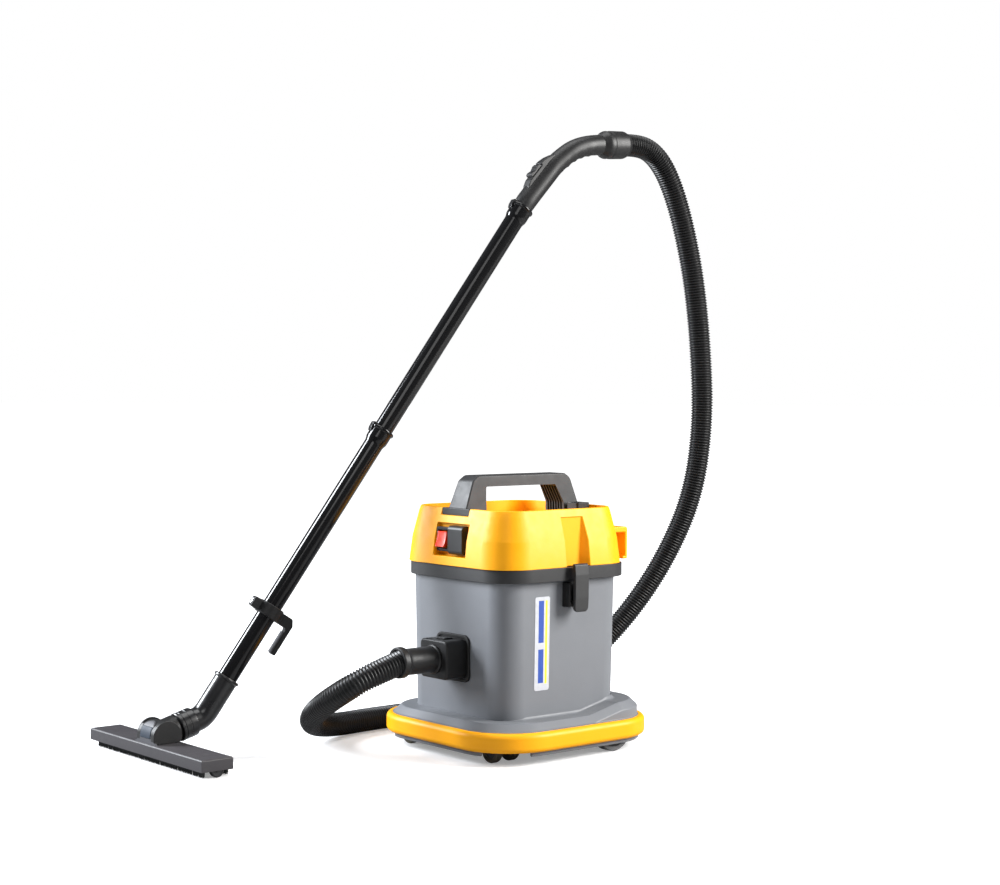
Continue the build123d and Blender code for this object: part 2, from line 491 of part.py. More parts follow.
def make_hand_tube():
    cup_end = Vector(*HOSE_ROUTE[0])
    cup_start = cup_end - CUP_AXIS * CUP_LENGTH
    first_bend = WAND_TOP + WAND_AXIS * 14
    route = [first_bend, HAND_BEND, cup_start - CUP_AXIS * 46, cup_start + CUP_AXIS * 8]
    radii = [60, *corner_radii(route)]
    forward = (HAND_BEND - first_bend).normalized()
    upward = (Vector(0, 0, 1) - forward * forward.Z).normalized()
    pad_place = Plane(origin=first_bend, x_dir=forward.cross(upward), z_dir=forward)

    tube = tube_along([WAND_TOP, *route], radii, HAND_R)
    tube += rod(TUBE_R, WAND_TOP - WAND_AXIS * SPIGOT_LENGTH, WAND_TOP + WAND_AXIS * 4)
    tube += pad_place * box(-11, 11, -22.5, 0, 24, 92)
    tube += pad_place * box(-7, 7, -26, -20, 70, 90)
    tube -= tube_along([WAND_TOP - WAND_AXIS * (SPIGOT_LENGTH + 1), *route], radii, HAND_BORE_R)
    tube -= pad_place * box(-5, 5, -30, -10, 52, 64)
    nodes["hand_tube"] = tube
    slider = pad_place * box(-10, 10, -28.5, -22.8, 39, 67)
    slider_top = slider.edges().sort_by(lambda edge: (edge.center() - first_bend).dot(upward))[-4:]
    nodes["air_slider"] = fillet(slider_top, 2)

    cup = rod(HAND_R + 2, cup_start, cup_start + CUP_AXIS * 10)
    cup += rod(CUP_R, cup_start + CUP_AXIS * 8, cup_end)
    cup -= rod(HAND_R, cup_start - CUP_AXIS, cup_start + CUP_AXIS * 8)
    nodes["hose_cup"] = cup - rod(HOSE_BORE_R, cup_start, cup_end + CUP_AXIS)


def make_hose():
    radii = corner_radii(HOSE_ROUTE)
    print("hose corner radii:", [round(radius) for radius in radii])
    path = filleted_path(HOSE_ROUTE, radii)
    nodes["hose"] = tube_along(HOSE_ROUTE, radii, HOSE_OD / 2)
    section = Circle(HOSE_OD / 2).area
    print("hose length:", round(path.length), "volume over section:", round(nodes["hose"].volume / section))


# ---- floor tool

def make_elbow():
    neck_end = ELBOW_BEND - NECK_AXIS * 26
    elbow = tube_along([WAND_FOOT, ELBOW_BEND, neck_end], [45], ELBOW_R, TUBE_R - TUBE_WALL)
    elbow += rod(ELBOW_R + 2, WAND_FOOT, WAND_FOOT - WAND_AXIS * 5)
    nodes["elbow"] = elbow - rod(TUBE_R, WAND_FOOT, along_wand(LOWER_TUBE_START))
    collar = pipe(25, ELBOW_R, ELBOW_BEND - NECK_AXIS * 22, neck_end)
    collar += pipe(25, 18 + RUNNING_GAP, neck_end, ELBOW_BEND - NECK_AXIS * 52)
    nodes["swivel_collar"] = collar


def make_neck():
    spigot = rod(18, ELBOW_BEND - NECK_AXIS * 26.3, ELBOW_BEND - NECK_AXIS * 54)
    neck = spigot + rod(NECK_R, ELBOW_BEND - NECK_AXIS * 52.3, TOOL_PIVOT)
    x, y, z = TOOL_PIVOT
    neck += rod(NECK_R + 1, (x - DRUM_HALF, y, z), (x + DRUM_HALF, y, z))
    neck -= rod(14, ELBOW_BEND - NECK_AXIS * 20, TOOL_PIVOT)
    neck -= rod(12, (x, y, z), (x, y, z - 40))
    nodes["tool_neck"] = neck - rod(AXLE_R + RUNNING_GAP, (x - 30, y, z), (x + 30, y, z))


def make_floor_tool():
    """Drawn about the pitch pivot's foot on the floor, then moved there."""
    foot = Pos(TOOL_PIVOT.X, TOOL_PIVOT.Y, 0)
    z = TOOL_PIVOT.Z
    half_l, half_d = TOOL_LENGTH / 2, TOOL_DEPTH / 2
    body = box(-half_l, half_l, -half_d, half_d, TOOL_LOW, TOOL_HIGH)
    body = chamfer(body.faces().sort_by(Axis.Z)[-1].edges(), 2)
    body -= box(-half_l + 22, half_l - 22, -14, 14, TOOL_LOW - 1, TOOL_LOW + 6)
    body -= rod(14, (0, 0, TOOL_LOW), (0, 0, z))
    body -= rod(NECK_R + 1.4, (-DRUM_HALF - 0.5, 0, z), (DRUM_HALF + 0.5, 0, z))
    for pitch in (9, 12, 15):
        end = (0, 60 * cos(radians(pitch)), z + 60 * sin(radians(pitch)))
        body -= rod(NECK_R + 0.5, (0, 0, z), end)
    for side in (-1, 1):
        y = side * BRUSH_Y
        body -= box(-half_l + 8, half_l - 8, y - 3.3, y + 3.3, TOOL_LOW - 1, 22.8)
        low, high = sorted((side * (half_l - 16), side * (half_l - 5)))
        body -= box(low, high, -13, 13, TOOL_LOW - 1, 2 * TOOL_WHEEL_R + 1)
        pin_low, pin_high = sorted((side * (half_l - 19), side * (half_l - 2)))
        body -= rod(2.05, (pin_low, 0, TOOL_WHEEL_R), (pin_high, 0, TOOL_WHEEL_R))
        body -= box(pin_low, pin_high, -2.05, 2.05, TOOL_LOW - 1, TOOL_LOW)
    arch_outline = [(-32, TOOL_HIGH), (32, TOOL_HIGH), (21, 52), (17, 64), (9, 70), (-9, 70), (-17, 64),
                    (-21, 52)]
    shield = box(-40, 40, -half_d, -half_d + 3.5, TOOL_HIGH, z)
    shield += pipe(half_d, half_d - 3, (-40, 0, z), (40, 0, z)) & box(-40, 40, -half_d, 0, z, 80)
    arch = front_profile(arch_outline, -half_d, 0) & shield
    arch -= box(-17.5, 17.5, -40, 0, 40, 61)
    fairing = rod(27, (-29, 0, z), (29, 0, z)) & box(-29, 29, -26.5, 40, TOOL_HIGH, 80)
    fairing -= rod(NECK_R + 1.4, (-24.3, 0, z), (24.3, 0, z))
    fairing -= box(-24.3, 24.3, -18, 60, TOOL_HIGH - 1, 80)
    fairing -= box(-18, 18, -30, -12, 37, 64)
    fairing += rod(AXLE_R, (-28, 0, z), (28, 0, z))
    pedal = pipe(half_d + 1.6, half_d - 2.6, (-PEDAL_HALF, 0, z), (PEDAL_HALF, 0, z))
    pedal &= box(-20, 20, -40, 0, PEDAL_HINGE_Z + 1.6, 60.7)
    pedal += box(-PEDAL_HALF, PEDAL_HALF, -half_d - 0.2, -half_d + 2.6, PEDAL_HINGE_Z, PEDAL_HINGE_Z + 1.7)
    hinge_y = -half_d + 1.4
    pedal += rod(1.6, (-PEDAL_HALF, hinge_y, PEDAL_HINGE_Z), (PEDAL_HALF, hinge_y, PEDAL_HINGE_Z))
    nodes["tool_body"] = foot * body
    nodes["tool_arch"] = foot * arch
    nodes["tool_fairing"] = foot * fairing
    nodes["tool_pedal"] = foot * pedal
    strips = []
    pitch = (TOOL_LENGTH - 22) / TUFTS
    for y in (-BRUSH_Y, BRUSH_Y):
        strip = box(-half_l + 9, half_l - 9, y - 3, y + 3, 12, 16)
        for tuft in range(TUFTS):
            x = -half_l + 12 + tuft * pitch
            strip += box(x, x + pitch - 3, y - 2.5, y + 2.5, 0.4, 12)
        strips.append(foot * strip)
    nodes["brush_strips"] = Compound(strips)
    for name, side in (("left", -1), ("right", 1)):
        near, far = side * (half_l - 15.6), side * (half_l - 5.4)
        wheel = rod(TOOL_WHEEL_R, (near, 0, TOOL_WHEEL_R), (far, 0, TOOL_WHEEL_R))
        wheel += rod(2, (side * (half_l - 18.8), 0, TOOL_WHEEL_R), (side * (half_l - 2.2), 0, TOOL_WHEEL_R))
        nodes["tool_wheel_" + name] = foot * wheel


def export_all():
    """Centre the object, without its hose, over the origin and write one file per sub-part."""
    solids = [solid for name, solid in nodes.items() if name not in CORD_NODES]
    bounds = [solid.bounding_box() for solid in solids]
    low_x, high_x = min(b.min.X for b in bounds), max(b.max.X for b in bounds)
    low_y, high_y = min(b.min.Y for b in bounds), max(b.max.Y for b in bounds)
    shift = Pos(-(low_x + high_x) / 2, -(low_y + high_y) / 2, 0)
    print("machine centre is at:", shift.position.X, shift.position.Y)
    for name, solid in nodes.items():
        export_step(shift * solid, f"parts/{name}.step")


make_base()
make_rear_wheels()
make_caster()
make_tub()
make_inlet()
make_latch()
make_handle()
make_head()
make_switch()
make_motor()
make_wand()
make_hand_tube()
make_hose()
make_elbow()
make_neck()
make_floor_tool()
export_all()
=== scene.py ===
import json
import random
from contextlib import contextmanager
from math import cos, pi, radians, sin, sqrt, tan

import bmesh
import bpy
from mathutils import Matrix, Vector


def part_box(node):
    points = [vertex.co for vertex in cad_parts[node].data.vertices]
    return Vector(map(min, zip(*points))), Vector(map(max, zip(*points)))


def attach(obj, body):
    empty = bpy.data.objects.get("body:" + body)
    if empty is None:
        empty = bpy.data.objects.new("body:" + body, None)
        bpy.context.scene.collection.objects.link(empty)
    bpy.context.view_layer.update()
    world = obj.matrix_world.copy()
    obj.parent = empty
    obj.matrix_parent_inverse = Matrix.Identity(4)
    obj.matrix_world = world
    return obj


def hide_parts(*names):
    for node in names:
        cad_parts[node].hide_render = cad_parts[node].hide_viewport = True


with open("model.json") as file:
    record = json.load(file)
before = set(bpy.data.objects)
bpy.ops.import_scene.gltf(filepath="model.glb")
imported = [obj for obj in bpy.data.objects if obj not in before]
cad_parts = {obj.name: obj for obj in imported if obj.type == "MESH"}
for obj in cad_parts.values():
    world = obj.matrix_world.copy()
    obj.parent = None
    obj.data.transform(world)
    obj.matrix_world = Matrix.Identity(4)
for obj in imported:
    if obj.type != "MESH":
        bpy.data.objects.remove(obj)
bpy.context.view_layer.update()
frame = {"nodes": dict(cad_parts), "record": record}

BRISTLE_DRAWS = random.Random(7)
UP, BACK, FRONT, RIGHT = Vector((0, 0, 1)), Vector((0, 1, 0)), Vector((0, -1, 0)), Vector((1, 0, 0))

# The machine is described in millimetres about its own centre line, as the part is: +X its right
# side, -Y its front, Z up from the floor. MM takes that frame to the row's frame in metres.
_low, _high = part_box("bumper_ring")
MM = Matrix.Translation(((_low[0] + _high[0]) / 2, (_low[1] + _high[1]) / 2, 0)) @ Matrix.Scale(0.001, 4)
BODY_OF = {node: body for body, nodes in frame["record"]["behaviour"]["bodies"].items() for node in nodes}
SLOT_OF = {part["node"]: part["material_slot"] for part in frame["record"]["subparts"]}
WAND_FOOT, WAND_TOP = Vector((-241, -451, 130.5)), Vector((-82.4, 81, 966))
WAND_AXIS = (WAND_TOP - WAND_FOOT).normalized()
WAND_UP = (UP - WAND_AXIS * WAND_AXIS.z).normalized()
NECK_AXIS = Vector((0, cos(radians(15)), sin(radians(15))))
ELBOW_BEND = WAND_FOOT - WAND_AXIS * 78
TOOL_PIVOT = ELBOW_BEND - NECK_AXIS * 84


# ---- helpers for objects and placements

def added(name, data):
    """A new object with this data, linked to the scene."""
    obj = bpy.data.objects.new(name, data)
    bpy.context.scene.collection.objects.link(obj)
    return obj


def frame_at(origin, x_axis, y_axis, z_axis):
    """The placement with the given origin and axes."""
    return Matrix.Translation(origin) @ Matrix((x_axis, y_axis, z_axis)).transposed().to_4x4()


@contextmanager
def editing(mesh):
    """A bmesh of the mesh, written back when the block ends."""
    work = bmesh.new()
    work.from_mesh(mesh)
    yield work
    work.to_mesh(mesh)
    work.free()


# ---- camera

def make_camera():
    """The fitted view: 3.4 m away, 50 degrees round from the front towards the right side."""
    azimuth, pitch, roll = radians(50.31), radians(1.71), radians(0.25)
    distance, height, sideways, lens = 3378.8, 638.6, -29.4, 68.286
    right = Vector((cos(azimuth), sin(azimuth), 0))
    away = Vector((-sin(azimuth), cos(azimuth), 0))
    eye = -away * distance + UP * height + right * sideways
    forward = away * cos(pitch) - UP * sin(pitch)
    level_up = UP * cos(pitch) + away * sin(pitch)
    x_axis = right * cos(roll) + level_up * sin(roll)
    y_axis = level_up * cos(roll) - right * sin(roll)
    camera = added("camera", bpy.data.cameras.new("camera"))
    camera.matrix_world = frame_at(MM @ eye, x_axis, y_axis, -forward)
    camera.data.lens = lens
    camera.data.sensor_width = 36
    camera.data.clip_end = 100
    bpy.context.scene.camera = camera


make_camera()


# ---- meshes

def solid(name, vertices, faces):
    """A mesh object in millimetres, not yet placed in the row's frame."""
    mesh = bpy.data.meshes.new(name)
    mesh.from_pydata([tuple(v) for v in vertices], [], faces)
    mesh.update()
    with editing(mesh) as work:
        bmesh.ops.recalc_face_normals(work, faces=work.faces)
    return added(name, mesh)


def strip(name, rings, capped=True, looped=False):
    """A skin over rings of equal count; capped closes the ends, looped joins the last ring to the first."""
    count = len(rings[0])
    vertices = [point for ring in rings for point in ring]
    faces = []
    spans = len(rings) if looped else len(rings) - 1
    for i in range(spans):
        here, there = i * count, (i + 1) % len(rings) * count
        for j in range(count):
            k = (j + 1) % count
            faces.append((here + j, here + k, there + k, there + j))
    if capped and not looped:
        faces.append(tuple(range(count)))
        faces.append(tuple(range((len(rings) - 1) * count, len(rings) * count)))
    return solid(name, vertices, faces)


def axes_for(direction, hint=UP):
    direction = direction.normalized()
    side = hint.cross(direction)
    if side.length < 1e-4:
        side = Vector((1, 0, 0))
    side.normalize()
    return side, direction.cross(side)


def turned(name, profile, start, direction, count=56, hint=UP):
    """A closed profile of (radius, distance) turned about the line from start along direction."""
    side, over = axes_for(direction, hint)
    direction = direction.normalized()
    rings = []
    for radius, distance in profile:
        centre = start + direction * distance
        rings.append([centre + (side * cos(a) + over * sin(a)) * radius for a in angles(count)])
    return strip(name, rings, capped=False, looped=True)


def block(name, x0, x1, y0, y1, z0, z1):
    corners = [(x, y, z) for x in (x0, x1) for y in (y0, y1) for z in (z0, z1)]
    return solid(name, corners, [(0, 1, 3, 2), (4, 6, 7, 5), (0, 4, 5, 1), (2, 3, 7, 6), (0, 2, 6, 4),
                                 (1, 5, 7, 3)])


def slab(name, outline, axis, low, high):
    """An outline drawn in the plane across axis (x: YZ, y: XZ, z: XY), given thickness from low to high."""
    place = {"x": lambda u, v, w: (w, u, v), "y": lambda u, v, w: (u, w, v), "z": lambda u, v,
             w: (u, v, w)}[axis]
    return strip(name, [[Vector(place(u, v, w)) for u, v in outline] for w in (low, high)])


def angles(count):
    return [2 * pi * i / count for i in range(count)]


def square_ring(half, corner, z, per_corner=12):
    """Points round a square with rounded corners, seen from above."""
    ring = []
    reach = half - corner
    for quarter, (sx, sy) in enumerate(((1, 1), (-1, 1), (-1, -1), (1, -1))):
        for step in range(per_corner + 1):
            angle = (quarter + step / per_corner) * pi / 2
            ring.append(Vector((sx * reach + corner * cos(angle), sy * reach + corner * sin(angle), z)))
    return ring


def square_loft(name, sections, per_corner=12, looped=False):
    return strip(name, [square_ring(*section, per_corner) for section in sections], not looped, looped)


def rounded_outline(u0, u1, v0, v1, radius, steps=5):
    low_u, high_u, low_v, high_v = u0 + radius, u1 - radius, v0 + radius, v1 - radius
    outline = []
    for quarter, (u, v) in enumerate(((high_u, high_v), (low_u, high_v), (low_u, low_v), (high_u, low_v))):
        for step in range(steps + 1):
            angle = (quarter + step / steps) * pi / 2
            outline.append((u + radius * cos(angle), v + radius * sin(angle)))
    return outline


def softened_outline(points, radius, steps=4):
    """The outline with each corner rounded; radius is one number or one for each corner."""
    radii = radius if isinstance(radius, (list, tuple)) else [radius] * len(points)
    outline = []
    for i, corner in enumerate(points):
        before, after = Vector(points[i - 1]), Vector(points[(i + 1) % len(points)])
        here = Vector(corner)
        back, on = (before - here), (after - here)
        half = back.angle(on) / 2
        reach = min(radii[i] / max(tan(half), 1e-3), 0.48 * back.length, 0.48 * on.length)
        if radii[i] == 0:
            outline.append(tuple(here))
            continue
        a, b = here + back.normalized() * reach, here + on.normalized() * reach
        for step in range(steps + 1):
            t = step / steps
            outline.append(tuple(a * (1 - t) ** 2 + here * 2 * t * (1 - t) + b * t ** 2))
    return outline


def apply_modifiers(obj):
    graph = bpy.context.evaluated_depsgraph_get()
    mesh = bpy.data.meshes.new_from_object(obj.evaluated_get(graph))
    obj.modifiers.clear()
    old = obj.data
    obj.data = mesh
    bpy.data.meshes.remove(old)
    return obj


def combine(obj, operation, others):
    for other in others:
        modifier = obj.modifiers.new("combine", "BOOLEAN")
        modifier.operation = operation
        modifier.solver = "EXACT"
        modifier.object = other
        apply_modifiers(obj)
        bpy.data.objects.remove(other)
    return obj


def cut(obj, *others):
    return combine(obj, "DIFFERENCE", others)


def intersect(obj, *others):
    return combine(obj, "INTERSECT", others)


def plug(radius, long):
    """The profile of a solid cylinder, for turned."""
    return [(0.01, 0), (radius, 0), (radius, long), (0.01, long)]


def bevelled(obj, width, segments=2, angle=32):
    """The object with each edge that turns by more than the angle rounded."""
    with editing(obj.data) as work:
        bmesh.ops.remove_doubles(work, verts=work.verts, dist=0.02)
        bmesh.ops.dissolve_degenerate(work, edges=work.edges, dist=0.02)
        edges = [e for e in work.edges if e.is_manifold and e.calc_face_angle(0) > radians(angle)]
        bmesh.ops.bevel(work, geom=edges, offset=width, segments=segments, profile=0.5, affect="EDGES",
                        clamp_overlap=False)
    return obj


def joined(name, objects):
    """Several solids as one mesh."""
    work = bmesh.new()
    for obj in objects:
        obj.data.transform(obj.matrix_world)
        work.from_mesh(obj.data)
        bpy.data.objects.remove(obj)
    mesh = bpy.data.meshes.new(name)
    work.to_mesh(mesh)
    work.free()
    return added(name, mesh)


def mirrored(name, obj):
    """A copy on the machine's other side."""
    mesh = obj.data.copy()
    mesh.transform(Matrix.Scale(-1, 4, (1, 0, 0)))
    mesh.flip_normals()
    return added(name, mesh)


def place(obj, nodes, slot=None, body=None, smooth=35, matrix=None):
    """Puts a finished piece in the row's frame, in place of its CAD nodes, with its slot's material."""
    nodes = [nodes] if isinstance(nodes, str) else list(nodes)
    slot = slot or SLOT_OF[nodes[0]]
    obj.data.transform(MM @ (matrix or Matrix.Identity(4)))
    obj.data.materials.clear()
    obj.data.materials.append(MATERIALS[slot])
    with editing(obj.data) as work:
        bmesh.ops.remove_doubles(work, verts=work.verts, dist=2e-6)
        for face in work.faces:
            face.smooth = True
        for edge in work.edges:
            edge.smooth = not (edge.is_manifold and edge.calc_face_angle(0) > radians(smooth))
    modifier = obj.modifiers.new("weights", "WEIGHTED_NORMAL")
    modifier.keep_sharp = True
    modifier.weight = 60
    apply_modifiers(obj)
    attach(obj, body or BODY_OF[nodes[0]])
    if nodes:
        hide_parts(*nodes)
    return obj


# ---- materials

def node_tree(material):
    material.use_nodes = True
    tree = material.node_tree
    tree.nodes.clear()
    output = tree.nodes.new("ShaderNodeOutputMaterial")
    shader = tree.nodes.new("ShaderNodeBsdfPrincipled")
    tree.links.new(shader.outputs["BSDF"], output.inputs["Surface"])
    return tree, shader


def set_inputs(node, **values):
    """Sets the node's inputs by name, written with _ for a space."""
    for name, value in values.items():
        node.inputs[name.replace("_", " ")].default_value = value


def shades(colour, mottle):
    """A darker and a lighter shade of the colour."""
    return tuple(c * (1 - mottle) for c in colour), tuple(min(1.0, c * (1 + mottle)) for c in colour)


def noise(tree, scale, detail=2.0, roughness=0.5, stretch=None):
    """A noise over the object's own coordinates, in metres; stretch squeezes it along an axis."""
    coordinates = tree.nodes.new("ShaderNodeTexCoord")
    texture = tree.nodes.new("ShaderNodeTexNoise")
    set_inputs(texture, Scale=scale, Detail=detail, Roughness=roughness)
    vector = coordinates.outputs["Object"]
    if stretch:
        mapping = tree.nodes.new("ShaderNodeMapping")
        set_inputs(mapping, Scale=stretch)
        tree.links.new(vector, mapping.inputs["Vector"])
        vector = mapping.outputs["Vector"]
    tree.links.new(vector, texture.inputs["Vector"])
    return texture.outputs["Fac"]


def ramp(tree, value, low, high, dark, light):
    """The value from low to high as a colour from dark to light."""
    node = tree.nodes.new("ShaderNodeValToRGB")
    node.color_ramp.elements[0].position = low
    node.color_ramp.elements[1].position = high
    node.color_ramp.elements[0].color = (*dark, 1)
    node.color_ramp.elements[1].color = (*light, 1)
    tree.links.new(value, node.inputs["Fac"])
    return node.outputs["Color"]


def spread(tree, value, low, high):
    """The value, which is mostly from 0.3 to 0.7, spread from low to high."""
    node = tree.nodes.new("ShaderNodeMapRange")
    set_inputs(node, From_Min=0.3, From_Max=0.7, To_Min=low, To_Max=high)
    tree.links.new(value, node.inputs["Value"])
    return node.outputs["Result"]


def bump(tree, shader, height, strength, distance, before=None):
    node = tree.nodes.new("ShaderNodeBump")
    set_inputs(node, Strength=strength, Distance=distance)
    tree.links.new(height, node.inputs["Height"])
    if before:
        tree.links.new(before, node.inputs["Normal"])
    tree.links.new(node.outputs["Normal"], shader.inputs["Normal"])
    return node.outputs["Normal"]


def moulded(name, colour, roughness, spread_of=0.05, grain=0.25, grain_scale=1600, mottle=0.04, coat=0.0,
            specular=0.5):
    """Moulded plastic or rubber: fine grain, slight variation in colour and gloss, faint handling marks."""
    material = bpy.data.materials.new(name)
    tree, shader = node_tree(material)
    dark, light = shades(colour, mottle)
    broad = noise(tree, 14, 4, 0.6)
    tree.links.new(ramp(tree, broad, 0.3, 0.7, dark, light), shader.inputs["Base Color"])
    handled = noise(tree, 55, 5, 0.65)
    tree.links.new(spread(tree, handled, roughness - spread_of, roughness + spread_of),
                   shader.inputs["Roughness"])
    fine = noise(tree, grain_scale, 2, 0.5)
    normal = bump(tree, shader, fine, grain, 0.00012)
    waves = noise(tree, 30, 1, 0.4)
    bump(tree, shader, waves, 0.08, 0.0006, normal)
    set_inputs(shader, Coat_Weight=coat, Coat_Roughness=0.12, Specular_IOR_Level=specular)
    return material


def metal(name, colour, roughness):
    material = bpy.data.materials.new(name)
    tree, shader = node_tree(material)
    set_inputs(shader, Metallic=1.0)
    brushed = noise(tree, 900, 3, 0.6, (1, 1, 0.06))
    tree.links.new(ramp(tree, brushed, 0.3, 0.7, tuple(c * 0.9 for c in colour), colour),
                   shader.inputs["Base Color"])
    tree.links.new(spread(tree, brushed, roughness - 0.06, roughness + 0.08), shader.inputs["Roughness"])
    bump(tree, shader, brushed, 0.1, 0.00005)
    return material


def fibrous(name, colour, roughness, scale, strength, mottle=0.12, weave=None):
    """Paper, cardboard, filter cloth or bristle: visible fibres; weave is the threads' wave scale."""
    material = bpy.data.materials.new(name)
    tree, shader = node_tree(material)
    fibres = noise(tree, scale, 6, 0.7, (1, 1, 0.35))
    dark, light = shades(colour, mottle)
    tree.links.new(ramp(tree, fibres, 0.25, 0.75, dark, light), shader.inputs["Base Color"])
    set_inputs(shader, Roughness=roughness, Sheen_Weight=0.2)
    normal = bump(tree, shader, fibres, strength, 0.0004)
    if weave:
        for turn in ("X", "Z"):
            coordinates = tree.nodes.new("ShaderNodeTexCoord")
            wave = tree.nodes.new("ShaderNodeTexWave")
            wave.bands_direction = turn
            set_inputs(wave, Scale=weave)
            tree.links.new(coordinates.outputs["Object"], wave.inputs["Vector"])
            normal = bump(tree, shader, wave.outputs["Fac"], 0.35, 0.0003, normal)
    return material


def label_material():
    """Generic sticker: silver-white film, one yellow stripe and two plain blue bars, no lettering."""
    material = bpy.data.materials.new("label")
    tree, shader = node_tree(material)
    coordinates = tree.nodes.new("ShaderNodeTexCoord")
    axes = tree.nodes.new("ShaderNodeSeparateXYZ")
    tree.links.new(coordinates.outputs["Object"], axes.inputs["Vector"])
    low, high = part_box("tub_label")
    wide, tall = high[1] - low[1], high[2] - low[2]

    def calculated(operation, a, b):
        """A Math node over a socket and a socket or number."""
        node = tree.nodes.new("ShaderNodeMath")
        node.operation = operation
        tree.links.new(a, node.inputs[0])
        if isinstance(b, float):
            node.inputs[1].default_value = b
        else:
            tree.links.new(b, node.inputs[1])
        return node.outputs["Value"]

    def within(axis, start, end):
        """1 between two shares of the label's width (Y) or height (Z), 0 outside."""
        base, size = (low[1], wide) if axis == "Y" else (low[2], tall)
        above = calculated("GREATER_THAN", axes.outputs[axis], base + size * start)
        return calculated("MULTIPLY", above, calculated("LESS_THAN", axes.outputs[axis], base + size * end))

    def bar(under, across, along, colour):
        """The colour inside a bar, given as shares of the label's width and height, and under outside it."""
        node = tree.nodes.new("ShaderNodeMix")
        node.data_type = "RGBA"
        tree.links.new(calculated("MULTIPLY", within("Y", *across), within("Z", *along)),
                       node.inputs["Factor"])
        tree.links.new(under, node.inputs[6])
        node.inputs[7].default_value = (*colour, 1)
        return node.outputs[2]

    film = ramp(tree, noise(tree, 120, 3, 0.5), 0.3, 0.7, (0.50, 0.51, 0.55), (0.56, 0.57, 0.61))
    colour = bar(film, (0.70, 0.84), (0.07, 0.96), (0.95, 0.78, 0.03))
    for along in ((0.08, 0.44), (0.51, 0.96)):
        colour = bar(colour, (0.24, 0.60), along, (0.02, 0.07, 0.36))
    tree.links.new(colour, shader.inputs["Base Color"])
    set_inputs(shader, Roughness=0.3, Coat_Weight=0.3)
    return material


MOULDED = {  # slot: colour, roughness, anything else that differs from the usual
    "yellow_plastic": ((1.0, 0.415, 0.0), 0.46, dict(mottle=0.02, specular=0.3)),
    "grey_plastic": ((0.172, 0.180, 0.196), 0.48, dict(grain=0.35, mottle=0.03, specular=0.4)),
    "dark_grey_plastic": ((0.027, 0.027, 0.028), 0.50, dict(grain=0.45, mottle=0.06, specular=0.35)),
    "black_plastic": ((0.011, 0.011, 0.0115), 0.44, dict(grain=0.35, mottle=0.1, specular=0.35)),
    "black_gloss": ((0.010, 0.010, 0.011), 0.30, dict(grain=0.12, mottle=0.08, coat=0.2, specular=0.4)),
    "black_tube": ((0.007, 0.007, 0.0075), 0.13, dict(spread_of=0.0, grain=0.02, mottle=0.05, specular=0.3)),
    "hose_black": ((0.007, 0.007, 0.0075), 0.38, dict(grain=0.1, mottle=0.1, specular=0.35)),
    "black_rubber": ((0.012, 0.012, 0.012), 0.55, dict(grain=0.3, mottle=0.1, specular=0.3)),
    "red_rocker": ((0.80, 0.035, 0.006), 0.16, dict(spread_of=0.03, grain=0.05, coat=0.5, specular=0.3)),
    "olive_tread": ((0.085, 0.075, 0.050), 0.55, dict(grain=0.3, mottle=0.15)),
    "grey_tyre": ((0.16, 0.16, 0.165), 0.55, dict(grain=0.3, mottle=0.08)),
    "wheel_hub": ((0.028, 0.028, 0.030), 0.42, dict(grain=0.3, mottle=0.08)),
    "tool_grey": ((0.043, 0.040, 0.044), 0.48, dict(grain=0.4, mottle=0.05, specular=0.35)),
    "tool_light": ((0.072, 0.072, 0.080), 0.46, dict(grain=0.3, mottle=0.04, specular=0.3)),
    "pedal_blue": ((0.030, 0.040, 0.056), 0.55, dict(grain=0.25, mottle=0.06, specular=0.2)),
}
MATERIALS = {slot: moulded(slot, colour, roughness, **rest)
             for slot, (colour, roughness, rest) in MOULDED.items()}
MATERIALS.update({
    "label": label_material(),
    "steel": metal("steel", (0.60, 0.60, 0.61), 0.30),
    "aluminium": metal("aluminium", (0.78, 0.78, 0.79), 0.36),
    "filter_cloth": fibrous("filter_cloth", (0.72, 0.72, 0.69), 0.92, 500, 0.6, weave=330),
    "paper_bag": fibrous("paper_bag", (0.56, 0.42, 0.26), 0.88, 260, 0.35),
    "cardboard": fibrous("cardboard", (0.46, 0.33, 0.20), 0.9, 400, 0.4),
    "bristle": fibrous("bristle", (0.012, 0.012, 0.012), 0.6, 900, 0.3, mottle=0.4),
})


# ---- hose

HOSE_DIAMETER, HOSE_PITCH, HOSE_VALLEY = 42.5, 5.4, 18.6
HOSE_ROUTE = [
    (-54, 311, 1096.5), (-52, 347, 1099), (-50, 382, 1087), (-48, 411, 1059), (-46, 436, 1015),
    (-45, 462, 950), (-44, 490, 850), (-43, 509, 720), (-43, 518, 570), (-56, 505, 425),
    (-88, 462, 300), (-130, 402, 190), (-178, 330, 100), (-220, 250, 43), (-248, 160, 23),
    (-259, 55, 21.5), (-260, -50, 21.5), (-259, -140, 21.5), (-246, -218, 22), (-212, -285, 34),
    (-158, -334, 56), (-96, -358, 87), (-41, -350, 120), (-8, -312, 150), (0, -254, 168),
]


def spline_points(route):
    """The points of a smooth line that has the route as its control points, in millimetres."""
    curve = bpy.data.curves.new("route", "CURVE")
    curve.dimensions = "3D"
    spline = curve.splines.new("NURBS")
    spline.points.add(len(route) - 1)
    for point, at in zip(spline.points, route):
        point.co = (*at, 1)
    spline.order_u = 3
    spline.use_endpoint_u = True
    spline.resolution_u = 32
    obj = added("route", curve)
    graph = bpy.context.evaluated_depsgraph_get()
    mesh = bpy.data.meshes.new_from_object(obj.evaluated_get(graph))
    points = [v.co.copy() for v in mesh.vertices]
    bpy.data.objects.remove(obj)
    return points


